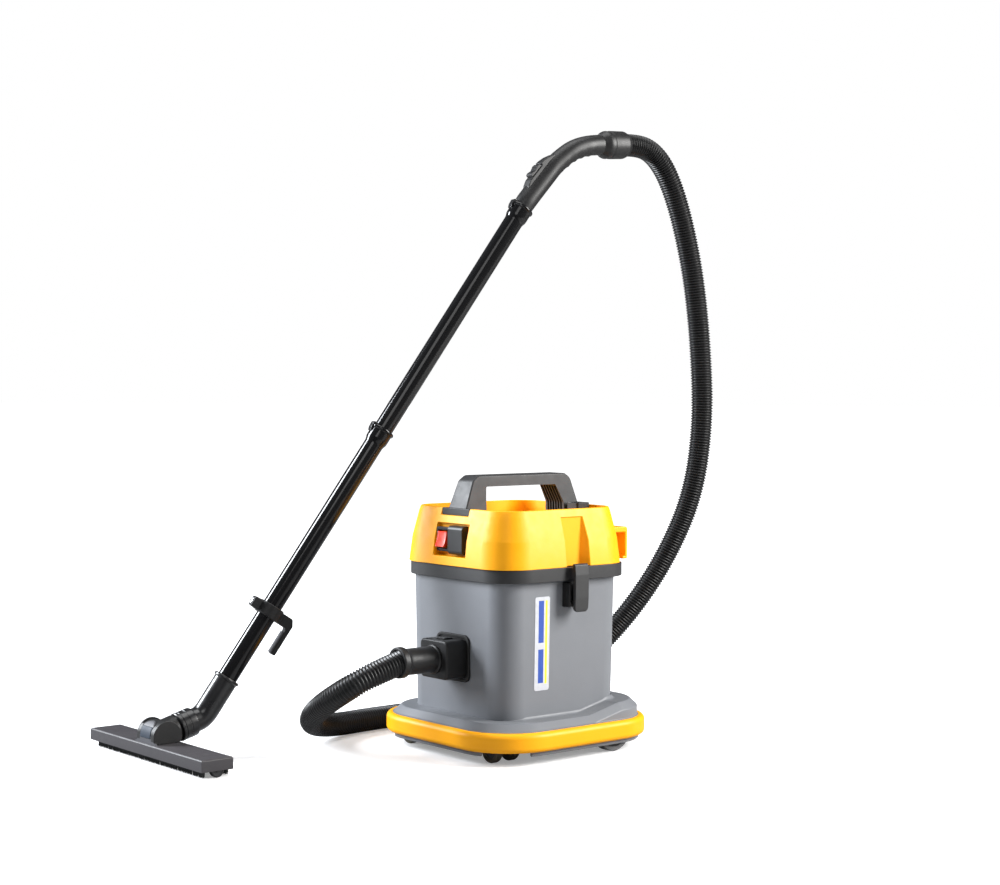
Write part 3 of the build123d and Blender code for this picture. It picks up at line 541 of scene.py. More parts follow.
def even_steps(points, step):
    """The line resampled so that its points are the same distance apart."""
    lengths = [0.0]
    for a, b in zip(points, points[1:]):
        lengths.append(lengths[-1] + (b - a).length)
    count = max(2, round(lengths[-1] / step))
    result, at = [], 0
    for i in range(count + 1):
        target = lengths[-1] * i / count
        while at < len(points) - 2 and lengths[at + 1] < target:
            at += 1
        share = (target - lengths[at]) / max(lengths[at + 1] - lengths[at], 1e-9)
        result.append(points[at].lerp(points[at + 1], min(1.0, share)))
    return result, lengths[-1]


def swept(name, points, radius_at, count=32, hint=UP):
    """A tube round the points; radius_at(distance along, angle from the hint side) gives its radius."""
    rings, travelled = [], 0.0
    side = None
    for i, point in enumerate(points):
        ahead = points[min(i + 1, len(points) - 1)] - points[max(i - 1, 0)]
        ahead.normalize()
        if side is None:
            side = hint - ahead * hint.dot(ahead)
        else:
            side = side - ahead * side.dot(ahead)
            travelled += (point - points[i - 1]).length
        side.normalize()
        over = ahead.cross(side)
        rings.append([point + (side * cos(a) + over * sin(a)) * radius_at(travelled, a)
                      for a in angles(count)])
    return strip(name, rings)


def make_hose():
    path, length = even_steps(spline_points(HOSE_ROUTE), HOSE_PITCH / 5)
    crest = HOSE_DIAMETER / 2

    def rib(distance, angle):
        phase = (distance / HOSE_PITCH) % 1.0
        hump = max(0.0, cos((phase - 0.5) * 2 * pi * 0.72))
        return HOSE_VALLEY + (crest - HOSE_VALLEY) * min(1.0, hump * 1.35) ** 0.8

    hose = swept("hose_ribbed", path, rib, 36)
    place(hose, "hose", smooth=75)


make_hose()


# ---- CAD shapes with their edges rounded

def cad_copy(name, node):
    """The CAD shape of a node as a new mesh in millimetres, with its flat faces whole."""
    mesh = frame["nodes"][node].data.copy()
    mesh.transform(MM.inverted())
    with editing(mesh) as work:
        bmesh.ops.remove_doubles(work, verts=work.verts, dist=0.01)
        bmesh.ops.dissolve_limit(work, angle_limit=radians(0.6), verts=work.verts, edges=work.edges)
    return added(name, mesh)


def refined(name, node, width, segments=2, angle=35):
    """The CAD shape of a node with its sharp edges rounded."""
    return bevelled(cad_copy(name, node), width, segments, angle)


def place_refined(name, node, width, segments=2, angle=35, smooth=35):
    place(refined(name, node, width, segments, angle), node, smooth=smooth)


# ---- base, bumper and tub

DECK_Z, TUB_LOW, TUB_CORNER = 69.5, 135.0, 45.0
RAMP_FRONT, RAMP_REAR, RAMP_RISE = 32.0, 98.0, 15.5


def deck_height(y):
    """The height of what the tub's foot stands on: the deck, or the ramp up to its raised rear."""
    climb = (y - RAMP_FRONT) / (RAMP_REAR - RAMP_FRONT)
    return DECK_Z + RAMP_RISE * max(0.0, min(1.0, climb))


def make_base():
    place_refined("base_shell", "base_plate", 1.6, 3, smooth=30)
    place_refined("bumper_roll", "bumper_ring", 0.5, 1, 60, smooth=60)
    place_foot_fillet()
    place_refined("tub_shell", "tub", 1.0, 2, smooth=30)


def foot_line():
    """Points round the tub's foot, at most 12 mm apart, each with the direction that faces outwards."""
    foot = []
    for at in square_ring(TUB_LOW, TUB_CORNER, 0, 16):
        corner = Vector([max(TUB_CORNER - TUB_LOW, min(TUB_LOW - TUB_CORNER, value))
                         for value in at.xy] + [0])
        foot.append((at, (Vector((at.x, at.y, 0)) - corner).normalized()))
    line = []
    for (a, out_a), (b, out_b) in zip(foot, foot[1:] + foot[:1]):
        line.append((a, out_a))
        steps = int((b - a).length / 12)
        line.extend((a.lerp(b, i / (steps + 1)), out_a.lerp(out_b, i / (steps + 1)).normalized())
                    for i in range(1, steps + 1))
    return line


def place_foot_fillet():
    """The hollow curve that runs round the tub where it meets the deck."""
    radius, rings = 5.0, []
    for at, outward in foot_line():
        level = deck_height(at.y)
        flare = (level - DECK_Z) * 0.015
        base = at + outward * flare + Vector((0, 0, level))
        ring = [base + outward * -1.2 + Vector((0, 0, radius + 1))]
        for i in range(7):
            a = i / 6 * pi / 2
            out, up = radius - radius * cos(a), radius - radius * sin(a)
            ring.append(base + outward * out + Vector((0, 0, up)))
        ring.append(base + outward * (radius + 1) - Vector((0, 0, 1.5)))
        ring.append(base + outward * -1.2 - Vector((0, 0, 1.5)))
        rings.append(ring)
    place(strip("tub_foot_fillet", rings, looped=True), [], "grey_plastic", "root", smooth=50)


make_base()


# ---- inlet

INLET_Z, INLET_FACE, BOX_FRONT, CUFF_END, BORE = 167.0, -143.0, -186.0, -264.0, 17.5
TUB_WALL_Y, PORT_R, KEY_LINES = -134, 24.5, (-166, -162.6, -159.2, -155.8)


def make_inlet():
    z = INLET_Z
    outline = rounded_outline(-46, 46, z - 41, z + 41, 14, 8)
    plate = bevelled(slab("inlet_flange_rim", outline, "y", INLET_FACE - 1.5, TUB_WALL_Y), 1.6, 3, 50)
    outline = rounded_outline(-41.5, 41.5, z - 36.5, z + 36.5, 10, 8)
    inner = slab("recess", outline, "y", INLET_FACE - 4, INLET_FACE + 1)
    cut(plate, inner, turned("port", plug(PORT_R, 40), Vector((0, -160, z)), BACK, 48))
    place(plate, "inlet_flange")
    outline = rounded_outline(-37.5, 37.5, z - 33.5, z + 33.5, 9, 8)
    body = bevelled(slab("inlet_housing", outline, "y", BOX_FRONT, INLET_FACE + 4), 3.5, 4, 50)
    recess = block("recess", -13, 13, -172, -150, z + 31.8, z + 40)
    slot = block("slot", -20, 20, BOX_FRONT - 1, BOX_FRONT + 12, z + 32.6, z + 40)
    hole = turned("hole", plug(BORE, 60), Vector((0, -200, z)), BACK, 48)
    cut(body, recess, slot, hole)
    spigot = turned("spigot", [(BORE, 0), (24.4, 0), (24.4, 34), (23.4, 37), (BORE, 37)],
                    Vector((0, -142, z)), BACK, 48)
    place(joined("inlet_housing", [bevelled(body, 0.5, 1, 60), spigot]), "inlet_box")
    button = slab("release_key", rounded_outline(-12, 12, -170, -152, 2.5, 4), "z", z + 31, z + 36.3)
    bevelled(button, 1.0, 2, 50)
    grips = [block("grip", -9, 9, y, y + 1.3, z + 35.6, z + 38) for y in KEY_LINES]
    place(cut(button, *grips), "release_button")
    rim = BOX_FRONT + 0.5
    long = rim - CUFF_END
    profile = [(BORE, 0), (24.0, 0), (25.4, 1.2), (25.4, 3.6), (24.2, 4.6), (23.0, 5.2), (22.8, 7),
               (22.8, long - 22), (23.2, long - 17), (24.6, long - 14), (26.0, long - 12.5),
               (26.8, long - 10.5), (26.8, long - 2), (25.9, long - 0.4), (25.0, long), (22.4, long),
               (21.4, long - 1.5), (BORE + 2.4, long - 2), (BORE, long - 2)]
    place(turned("inlet_cuff", profile, Vector((0, rim, z)), FRONT, 64), "hose_cuff", smooth=40)


make_inlet()


# ---- latches

LATCH_Y, PIN_X, PIN_Z, LEVER_HALF, BARREL_HALF = 9.0, 154.0, 264.0, 15.5, 12.7


def make_latches():
    x, z, y = PIN_X, PIN_Z, LATCH_Y
    half, arm = LEVER_HALF, BARREL_HALF
    side = [(x + 5.5, z - 9), (x + 7.5, z - 14), (x + 11.5, z - 14), (x + 13, z + 10), (x + 13, z + 50),
            (x + 11.2, z + 67), (x + 8.4, z + 69.2), (x + 4.6, z + 69), (x + 4.6, z + 60), (x + 6, z + 56),
            (x + 6.4, z + 6)]
    side = softened_outline(side, [2, 3, 3, 12, 20, 4, 2, 1, 1, 3, 3])
    lever = slab("latch_lever", side, "y", y - half, y + half)
    face = [(y - half, z - 14), (y + half, z - 14), (y + half, z + 69.2), (y - half, z + 69.2)]
    face = softened_outline(face, [9, 9, 2.5, 2.5], 6)
    bevelled(intersect(lever, slab("face", face, "x", x, x + 30)), 1.3, 3, 40)
    barrel = turned("barrel", [(2.05, 0), (5, 0), (5, 25.4), (2.05, 25.4)], Vector((x, y - arm, z)), BACK, 32)
    web = bevelled(block("web", x + 3, x + 8, y - arm, y + arm, z - 5, z + 5), 0.8, 1, 50)
    right = joined("latch_lever_right_piece", [lever, barrel, web])
    left = mirrored("latch_lever_left_piece", right)
    place(right, "latch_lever_right")
    place(left, "latch_lever_left")
    for name in ("latch_bracket_right", "latch_bracket_left"):
        place_refined(name + "_piece", name, 1.2, 2, 40)


make_latches()


# ---- head

TRAY_FLOOR, HANDLE_HALF, HANDLE_TAPER = 396.0, 27.5, 0.255
GLAND_AT, GLAND_PITCH, GLAND_TAPER, GLAND_RIBS = Vector((40, 135, 352)), 3.4, 0.35, 4


def make_head():
    shell = cut(cad_copy("head_shell", "head_cover"), block("notch", -38, 38, -140, -121, 420, 430))
    place(bevelled(shell, 1.4, 3, 22), "head_cover", smooth=24)
    ring = [(151.4, 62, 304), (151.4, 62, 327), (144, 54.5, 327), (144, 54.5, 317), (128, 37, 317),
            (128, 37, 313.5), (140, 46.5, 313.5), (140, 46.5, 304)]
    band = bevelled(square_loft("head_skirt_band", ring, 16, looped=True), 1.2, 2, 50)
    keepers = []
    for x in (1, -1):
        start, end = sorted((x * 150, x * 158))
        keepers.append(bevelled(block("keeper", start, end, -4, 22, 306, 326), 1.2, 2, 50))
    place(joined("head_skirt_band", [band, *keepers]), "head_band")
    place_refined("hooks_pair", "rear_hooks", 2.0, 3, 40)
    place_refined("vent_box", "exhaust_housing", 0.9, 2, 40)
    place_refined("bezel_frame", "switch_bezel", 0.8, 2, 40)
    cap = refined("cap_flap", "socket_cap", 1.2, 2, 45)
    grooves = [block("groove", -2, 32, -150, -146.8, 371 + h, 372.2 + h) for h in (-17, -13.5, 13)]
    place(cut(cap, *grooves), "socket_cap")
    place_refined("rocker_key", "switch_rocker", 1.6, 3, 25)
    gland = [(4, 0), (8, 0), (8, 8), (11, 9), (11.4, 10.5), (11.4, 20), (10.6, 22), (7.6, 23)]
    for ring in range(GLAND_RIBS):
        at, less = 23 + ring * GLAND_PITCH, ring * GLAND_TAPER
        gland += [(7.6 - less, at), (7.6 - less, at + 2.0), (6.5 - less, at + 2.3), (6.5 - less, at + 3.2)]
    gland += [(5.6, 37), (4, 37)]
    place(turned("gland_relief", gland, GLAND_AT, BACK, 40), "cable_gland")


def make_carry_handle():
    top, under, foot = 482, 462.5, TRAY_FLOOR
    points = [(-134.6, 424), (-116, 473), (-103, 482), (98, 482), (110, 474), (127, 426), (127, foot),
              (-121.5, foot), (-121.5, 416)]
    handle = slab("carry_grip", softened_outline(points, [4, 12, 14, 14, 16, 8, 5, 5, 4], 6), "x",
                  -HANDLE_HALF, HANDLE_HALF)
    for vertex in handle.data.vertices:
        vertex.co.x *= 1 - HANDLE_TAPER * (vertex.co.z - foot) / (top - foot)
    bevelled(handle, 2.6, 4, 50)
    opening = [(93, foot - 5), (91, 430), (73, under), (-87, under), (-88.5, 440), (-89, foot - 5)]
    cut(handle, slab("opening", softened_outline(opening, [0, 10, 3, 3, 4, 0], 6), "x", -40, 40))
    ribs = []
    groove = [(71, under - 3), (89, 428), (91, foot + 5), (104, foot + 5), (90, under - 3)]
    for rib in range(-3, 3):
        ribs.append(slab("rib", groove, "x", rib * 7 + 1, rib * 7 + 6))
    for tooth in range(8):
        y = -80 + tooth * 18.5
        ribs.append(block("tooth", -15, 15, y, y + 14, under - 1, under + 9))
    cut(handle, *ribs)
    tab = slab("tab", rounded_outline(-38, 38, 413, 425.5, 2.5, 4), "y", -137.5, -120)
    place(joined("carry_grip", [handle, bevelled(tab, 1.2, 2, 50)]), "carry_handle")


make_head()
make_carry_handle()


# ---- casters and rear wheels

CASTER_X, CASTER_Y, CASTER_R = 114, -128, 22


def make_wheels():
    for side, x in (("right", 1), ("left", -1)):
        place_refined(f"caster_{side}_hood", f"caster_fork_{side}", 1.4)
        centre = Vector((x * CASTER_X, CASTER_Y, CASTER_R))
        treads, hubs = [], []
        for turn in (-1, 1):
            tread = [(14, 12.7), (20.2, 12.7), (21.4, 13.3), (22, 14.7), (22, 23.3), (21.4, 24.7),
                     (20.2, 25.3), (16.4, 25.3), (16, 24.1), (14, 23.5)]
            treads.append(turned("tread", tread, centre, Vector((0, turn, 0)), 48))
            hub = [(0.01, 12.9), (14.6, 12.9), (16.2, 13.7), (16.2, 23.1), (15, 23.5), (13.6, 22.3),
                   (7, 21.7), (5.4, 23.1), (4.4, 24.9), (0.01, 25.1)]
            hubs.append(turned("hub", hub, centre, Vector((0, turn, 0)), 40))
        axle = turned("axle", [(0.01, -13), (3, -13), (3, 13), (0.01, 13)], centre, BACK, 24)
        place(joined(f"caster_{side}_treads", treads), f"caster_wheels_{side}")
        place(joined(f"caster_{side}_hubs", hubs + [axle]), [], "wheel_hub", BODY_OF[f"caster_wheels_{side}"])
        place_refined(f"rear_{side}_tyre", f"rear_tyre_{side}", 0.8)
        place_refined(f"rear_{side}_hub", f"rear_hub_{side}", 1.0)


make_wheels()


# ---- wand

TUBE_R, TUBE_BORE, SOCKET = 17.5, 15.7, 24
WAND_LENGTH = (WAND_TOP - WAND_FOOT).length
CUP_LENGTH, HAND_BEND, ELBOW_R = 62, Vector((-70, 152, 1053)), 21.0
JOINT_AT, CLIP_AT = WAND_LENGTH / 2 + 14, 136


def along_wand(distance):
    return WAND_FOOT + WAND_AXIS * distance


def wand_tube(name, start, end, node):
    """A tube from start to end along the wand, flared into a socket with a rolled lip."""
    long = end - start
    profile = [(TUBE_BORE, 0), (TUBE_R - 0.4, 0), (TUBE_R, 0.6), (TUBE_R, long - 32), (18.4, long - 28),
               (19.9, long - 24), (20.2, long - 20), (20.2, long - 7), (20.9, long - 5.6), (22.3, long - 4.6),
               (22.6, long - 3), (22.3, long - 1.2), (21.2, long), (18.2, long), (17.7, long - 1),
               (17.7, long - 24), (TUBE_BORE, long - 24.5)]
    tube = turned(name, profile, along_wand(start), WAND_AXIS, 64)
    place(tube, node)


def make_wand():
    wand_tube("wand_tube_low", -42, JOINT_AT, "lower_tube")
    wand_tube("wand_tube_high", JOINT_AT - SOCKET, WAND_LENGTH, "upper_tube")
    side = WAND_UP.cross(WAND_AXIS)
    for name, at in (("joint_key_low", JOINT_AT), ("joint_key_high", WAND_LENGTH)):
        outline = [(17, -15), (21.4, -15), (23.6, -9), (24.2, 1), (22, 3.4), (17, 3.4)]
        key = bevelled(slab(name, softened_outline(outline, [0, 1, 2, 2, 1, 0]), "y", -7, 7), 0.8, 2, 50)
        place(key, [], "black_gloss", "root", matrix=frame_at(along_wand(at), WAND_UP, side, WAND_AXIS))


def make_park_clip():
    down = -WAND_UP
    side = WAND_AXIS.cross(down)
    spot = frame_at(along_wand(CLIP_AT), down, side, WAND_AXIS)
    ring = turned("clip_ring", [(17.5, -11), (22.8, -11), (24, -9.8), (24, 9.8), (22.8, 11), (17.5, 11)],
                  Vector((0, 0, 0)), UP, 56, RIGHT)
    arm = softened_outline([(19, -11), (40, -11), (41.5, -16), (41.5, -61), (50, -62), (50, -2), (43, 9),
                            (19, 9)], [0, 3, 3, 2, 3, 7, 5, 0], 6)
    arm = bevelled(slab("clip_arm", arm, "y", -9, 9), 1.4, 3, 50)
    rib = bevelled(block("clip_rib", 26, 29, -9.6, 9.6, -10.4, 8.4), 0.6, 1, 50)
    knob = softened_outline([(-37, -9), (-20, -10.5), (-20, 10.5), (-37, 9)], [4, 0, 0, 4], 6)
    knob = bevelled(slab("clip_knob", knob, "y", -10, 10), 2.2, 3, 50)
    place(joined("park_clip_piece", [ring, arm, rib, knob]), "park_clip", matrix=spot)
    pad = bevelled(block("clip_hook_pad", 38.9, 41.9, -7.4, 7.4, -60, -18), 0.9, 2, 50)
    place(pad, [], "tool_light", "root", matrix=spot)
    profile = [(0.01, 0), (2.5, 0), (2.5, 18.5), (6.4, 18.5), (6.8, 19.4), (6.4, 21), (4.4, 21.8),
               (0.01, 21.8)]
    screw = turned("clip_screw_head", profile, Vector((-TUBE_R, 0, 0)), Vector((-1, 0, 0)), 36)
    slot = block("slot", -45, -38.3, -0.7, 0.7, -8, 8)
    place(cut(screw, slot), "clip_screw", matrix=spot)


def make_elbow():
    end = ELBOW_BEND - NECK_AXIS * 26
    route = [WAND_FOOT - WAND_AXIS * 1, WAND_FOOT.lerp(ELBOW_BEND, 0.42), WAND_FOOT.lerp(ELBOW_BEND, 0.55),
             ELBOW_BEND, ELBOW_BEND.lerp(end, 0.9), end]
    path, _ = even_steps(spline_points(route), 3)
    elbow = swept("elbow_bend", path, lambda distance, angle: ELBOW_R, 56)
    start = WAND_FOOT - WAND_AXIS * 6
    lip = turned("lip", [(17.6, 0), (21, 0), (21.6, 1.4), (23.4, 2.4), (23.8, 4.4), (23.2, 6.2), (22, 7.2),
                         (18.4, 7.2), (17.6, 6)], start, WAND_AXIS, 56)
    place(joined("elbow_bend", [elbow, lip]), "elbow", smooth=40)
    start = ELBOW_BEND - NECK_AXIS * 21
    profile = [(20.6, 0), (22.8, 0), (24.4, 0.8), (25, 2.2), (25, 13), (24.5, 13.4), (24.5, 14.6), (25, 15),
               (25, 24), (24.2, 24.6), (24.2, 26.2), (25.2, 27), (25.2, 30), (24.2, 31.2), (18.2, 31.2),
               (18.2, 5), (20.6, 5)]
    place(turned("swivel_sleeve", profile, start, -NECK_AXIS, 64), "swivel_collar")


def make_hand_tube():
    cup_axis = (Vector(HOSE_ROUTE[1]) - Vector(HOSE_ROUTE[0])).normalized()
    cup_end = Vector(HOSE_ROUTE[0])
    cup_start = cup_end - cup_axis * CUP_LENGTH
    bend = WAND_TOP + WAND_AXIS * 14
    high = HAND_BEND
    route = [WAND_TOP - WAND_AXIS * 2, WAND_TOP + WAND_AXIS * 3, bend, bend.lerp(high, 0.25),
             bend.lerp(high, 0.62), high, cup_start - cup_axis * 46, cup_start + cup_axis * 6]
    path, length = even_steps(spline_points(route), 1.6)

    def grip(distance, angle):
        """Round, with finger scallops along the underside of its upper half."""
        radius = 19.0 - 0.8 * max(0.0, 1 - distance / 14)
        under = max(0.0, -cos(angle)) ** 2
        start, end = length * 0.48, length * 0.93
        if start < distance < end:
            share = (distance - start) / (end - start)
            radius -= 1.5 * under * abs(sin(share * pi * 5)) * min(1.0, 5 * share, 5 * (1 - share))
            radius += 0.7 * under * min(1.0, 5 * share, 5 * (1 - share))
        return radius

    tube = swept("hand_tube_bend", path, grip, 56)
    spigot = turned("spigot", [(15.5, 0), (17, 0), (17.5, 0.8), (17.5, 26), (15.5, 26)],
                    WAND_TOP - WAND_AXIS * 23.5, WAND_AXIS, 48)
    forward = (high - bend).normalized()
    upward = (UP - forward * forward.z).normalized()
    across = forward.cross(upward)
    spot = frame_at(bend, across, -upward, forward)
    saddle = softened_outline([(-12, 12), (-18.6, 20), (-22.5, 32), (-22.5, 69), (-27, 70.5), (-26, 78),
                               (-22.5, 90), (-16, 104), (-10, 106)], [0, 10, 8, 1, 2, 4, 8, 8, 0], 6)
    saddle = slab("saddle", saddle, "x", -10.5, 10.5)
    bevelled(saddle, 1.8, 3, 50)
    saddle.data.transform(spot)
    place(joined("hand_tube_bend", [tube, spigot, saddle]), "hand_tube", smooth=40)
    slider = softened_outline([(-22.8, 38.5), (-27.6, 39.5), (-28.8, 44), (-26.2, 52), (-28.8, 62),
                               (-27.8, 67), (-22.8, 67.5)], [0, 2, 3, 5, 3, 1.5, 0], 5)
    slider = bevelled(slab("air_key", slider, "x", -9.6, 9.6), 1.0, 2, 50)
    lines = [block("line", -7.5, 7.5, -34, -26.9, z, z + 1.2) for z in (45.5, 48.5, 55.5, 58.5)]
    place(cut(slider, *lines), "air_slider", matrix=spot)
    profile = [(17.5, 0), (19.4, 0), (19.6, 1), (21.2, 3), (25, 9), (26, 12), (26.2, 14), (25.5, 15),
               (25.5, 21), (26.2, 22), (26.4, 24), (26, 54), (25, 57), (22.6, 62), (21.8, 63), (21.2, 63),
               (17.5, 60)]
    place(turned("hose_end_cup", profile, cup_start, cup_axis, 64), "hose_cup")


make_wand()
make_park_clip()
make_elbow()
make_hand_tube()


# ---- floor tool

HALF_L, HALF_D, TOOL_HIGH, PLATE_PROUD, TOOL_WHEEL_R = 190.0, 30.0, 32.5, 0.4, 12
ARCH_REACH, ARCH_TOP, PEDAL_FOOT, PEDAL_RISE = 30.3, 69.5, 41.9, 18.6
TUFTS, STRANDS, QUARTERS = 20, 16, (0, 1.57, 3.14, 4.71)


def arch_width(z):
    """Half the width of the front arch at a height above the floor."""
    share = (z - TOOL_HIGH) / (ARCH_TOP - TOOL_HIGH)
    flare = 15 * max(0.0, 1 - share / 0.3) ** 2
    return (22 - 3.5 * share + flare) * sqrt(max(0.0, 1 - max(0.0, (share - 0.45) / 0.55) ** 2.4)) + 0.5


def arch_depth(z):
    """How far in front of the pitch pivot the arch stands at a height."""
    above = max(0.0, z - TOOL_PIVOT.z)
    return sqrt(max(0.0, ARCH_REACH ** 2 - above ** 2))


def front_ring(half, out, drop, inset, deep, z):
    """One level of a curved front plate: its face at out, chamfered sides, and its back deep behind it."""
    return [Vector((x, -y, z)) for x, y in
            ((-half, out - drop), (-half + inset, out), (half - inset, out), (half, out - drop),
             (half, out - deep), (-half, out - deep))]


def make_floor_tool():
    place_refined("tool_shell", "tool_body", 0.9, 2, 40)
    spot = Matrix.Translation((TOOL_PIVOT.x, TOOL_PIVOT.y, 0))
    rings = []
    steps = 26
    for i in range(steps + 1):
        z = TOOL_HIGH - 1.5 + (71 - TOOL_HIGH) * i / steps
        half, out = arch_width(max(z, TOOL_HIGH)), arch_depth(z)
        rings.append(front_ring(half, out, 0.6, 0.8, 3.2, z))
    arch = strip("arch", rings)
    cut(arch, block("window", -17.4, 17.4, -40, 0, 41.5, 60.8))
    outline = [(-HALF_L + 1, 12.5), (HALF_L - 1, 12.5), (HALF_L - 0.4, TOOL_HIGH - 0.6),
               (-HALF_L + 0.4, TOOL_HIGH - 0.6)]
    plate = slab("plate", softened_outline(outline, 1.2), "y", -HALF_D - PLATE_PROUD, -HALF_D + 2)
    bevelled(plate, 0.5, 1, 50)
    place(joined("tool_front", [arch, plate]), "tool_arch", matrix=spot)
    rings = []
    steps = 10
    for i in range(steps + 1):
        z = PEDAL_FOOT + PEDAL_RISE * i / steps
        out = arch_depth(z) + 1.0
        rings.append(front_ring(16.9, out, 0.7, 0.7, 4.4, z))
    place(bevelled(strip("pedal_key", rings), 0.6, 2, 60), "tool_pedal", matrix=spot)
    place_refined("tool_fairing_piece", "tool_fairing", 1.2, 2, 40)
    place_refined("neck_sleeve", "tool_neck", 1.2, 2, 40)
    tufts = []
    for row in (-22, 22):
        tufts.append(block("holder", -HALF_L + 9, HALF_L - 9, row - 3, row + 3, 12, 16))
        pitch = (2 * HALF_L - 22) / TUFTS
        for tuft in range(TUFTS):
            start = -HALF_L + 12 + tuft * pitch
            for strand in range(STRANDS):
                x = start + (strand % 8 + 0.5) * (pitch - 3) / 8
                y = row + (-1.3 if strand < 8 else 1.3)
                lean = Vector((BRISTLE_DRAWS.uniform(-1.2, 1.2), BRISTLE_DRAWS.uniform(-1.0, 1.0), 0))
                tip = BRISTLE_DRAWS.uniform(0.5, 1.8)
                root = [Vector((x + 1.05 * cos(a), y + 1.2 * sin(a), 12.4)) for a in QUARTERS]
                end = [Vector((x, y, tip)) + lean + Vector((0.7 * cos(a), 0.8 * sin(a), 0)) for a in QUARTERS]
                tufts.append(strip("strand", [root, end]))
    place(joined("bristle_rows", tufts), "brush_strips", matrix=spot)
    for side, turn in (("left", -1), ("right", 1)):
        centre = Vector((TOOL_PIVOT.x + turn * 179.5, TOOL_PIVOT.y, TOOL_WHEEL_R))
        profile = [(0.01, -9.2), (2, -9.2), (2, -5.2), (10.4, -5.2), (11.6, -4.4), (12, -3.2), (12, 3.2),
                   (11.6, 4.4), (10.4, 5.2), (9, 5.2), (8.2, 4.2), (4, 4.2), (3.4, 5.2), (2, 5.2), (2, 7.2),
                   (0.01, 7.2)]
        place(turned(f"tool_{side}_roller", profile, centre, Vector((turn, 0, 0)), 40), f"tool_wheel_{side}")


make_floor_tool()


# ---- soft pieces inside: paper dust bag and cloth filter

BAG_X, BAG_Y, BAG_Z, BAG_MIDDLE_Y, BAG_MIDDLE_Z = 104, 107, 65, -3.5, 139.5
SLEEVE_R, SLEEVE_FOOT, SLEEVE_LONG, SLEEVE_STEPS, CLOTH = 79.3, 220, 83, 22, 1.2


def make_dust_bag():
    """A paper bag that the air has half filled: crowned faces, pinched corners, creases."""
    work = bmesh.new()
    bmesh.ops.create_cube(work, size=2)
    bmesh.ops.subdivide_edges(work, edges=work.edges, cuts=22, use_grid_fill=True)
    for vertex in work.verts:
        x, y, z = vertex.co
        crown = 1 - 0.16 * (x * x * y * y + y * y * z * z + z * z * x * x) / 3
        pinch = 1 - 0.10 * (abs(x * y * z)) ** 3
        crease = 0.018 * sin(9 * x + 4 * y + 2 * sin(5 * z)) + 0.014 * sin(11 * z + 5 * x - 3 * sin(4 * y))
        fold = 0.03 * max(0.0, 1 - abs(z - 0.05 * sin(6 * (x + y))) / 0.16)
        scale = crown * pinch * (0.975 + crease * 0.8 - fold)
        vertex.co = Vector((x * BAG_X * scale, BAG_MIDDLE_Y + y * BAG_Y * scale,
                            BAG_MIDDLE_Z + z * BAG_Z * (scale if z > 0 else 0.99)))
    mesh = bpy.data.meshes.new("dust_bag_paper")
    work.to_mesh(mesh)
    work.free()
    place(added("dust_bag_paper", mesh), "dust_bag", smooth=70)
    rings = []
    for x in range(-84, 85, 4):
        low, high = 0.9 * sin(x / 9), 1.4 * sin(x / 11)
        rings.append([Vector((x, y, z)) for y, z in
                      ((-3.5 + low, 199), (-1.5 + low, 199), (-1.7 + high, 207.5), (-3.3 + high, 207.5))])
    seam = strip("dust_bag_seam", rings)
    place(seam, [], "paper_bag", BODY_OF["dust_bag"], smooth=60)


def make_cloth_filter():
    """A sewn sleeve of filter cloth pulled over the cage, with a gathered foot."""
    rings = []
    outside = [(0.2, 214.4), (20, 214.2), (50, 214.0), (70, 214.6), (76.5, 216.4), (79, SLEEVE_FOOT)]
    outside += [(SLEEVE_R, SLEEVE_FOOT + SLEEVE_LONG * i / SLEEVE_STEPS) for i in range(1, SLEEVE_STEPS + 1)]
    inside = [(max(0.2, r - CLOTH), z + (CLOTH if z < 217 else 0)) for r, z in reversed(outside)]
    for radius, z in outside + inside:
        ring = []
        for a in angles(144):
            fade = 1 - min(1.0, abs(z - 262) / 60)
            tuck = 0.9 * sin(24 * a + 0.4 * sin(z / 7)) * fade + 0.5 * sin(5 * a + z / 14)
            gather = 1.4 * abs(sin(18 * a)) * (1 if 15 < radius < 72 else 0)
            ring.append(Vector(((radius + tuck) * cos(a), (radius + tuck) * sin(a), z - gather * 0.3)))
        rings.append(ring)
    sleeve = strip("filter_sleeve", rings, capped=False, looped=True)
    place(sleeve, "cloth_filter", smooth=70)
    for name, z in (("filter_seam_top", 298.0), ("filter_seam_foot", 221.0)):
        ring = turned(name, [(79.4, -2.2), (80.6, -1.8), (81.0, 0), (80.6, 1.8), (79.4, 2.2)],
                      Vector((0, 0, z)), UP, 96, RIGHT)
        place(ring, [], "filter_cloth", BODY_OF["cloth_filter"], smooth=50)


make_dust_bag()
make_cloth_filter()


# ---- CAD nodes that keep their own shape get their slot's material

def paint_frame():
    for node, obj in frame["nodes"].items():
        obj.data.materials.clear()
        obj.data.materials.append(MATERIALS[SLOT_OF[node]])


paint_frame()


# ---- studio

FLOOR_GLOW, FLOOR_BOUNCE, WORLD_LIGHT = 0.30, 0.38, 0.12
FLOOR_RINGS = (0.4, 1.0, 2.0, 4.0, 9.0, 60.0)
LIGHTS = (  # name, position, aim, width, height, power, colour
    ("overhead", (-0.2, 0.2, 3.4), (0, 0, 0.2), 1.8, 1.8, 44, (1, 1, 1)),
    ("right_box", (2.35, 2.0, 1.75), (0.1, 0.1, 0.35), 1.1, 2.0, 205, (1.0, 0.99, 0.97)),
    ("left_box", (-2.3, -1.95, 1.75), (0.1, 0.1, 0.35), 0.9, 2.0, 300, (0.91, 0.95, 1.0)),
    ("front_fill", (2.4, -2.2, 2.6), (0.1, 0.1, 0.3), 1.6, 1.6, 26, (1, 1, 1)),
)


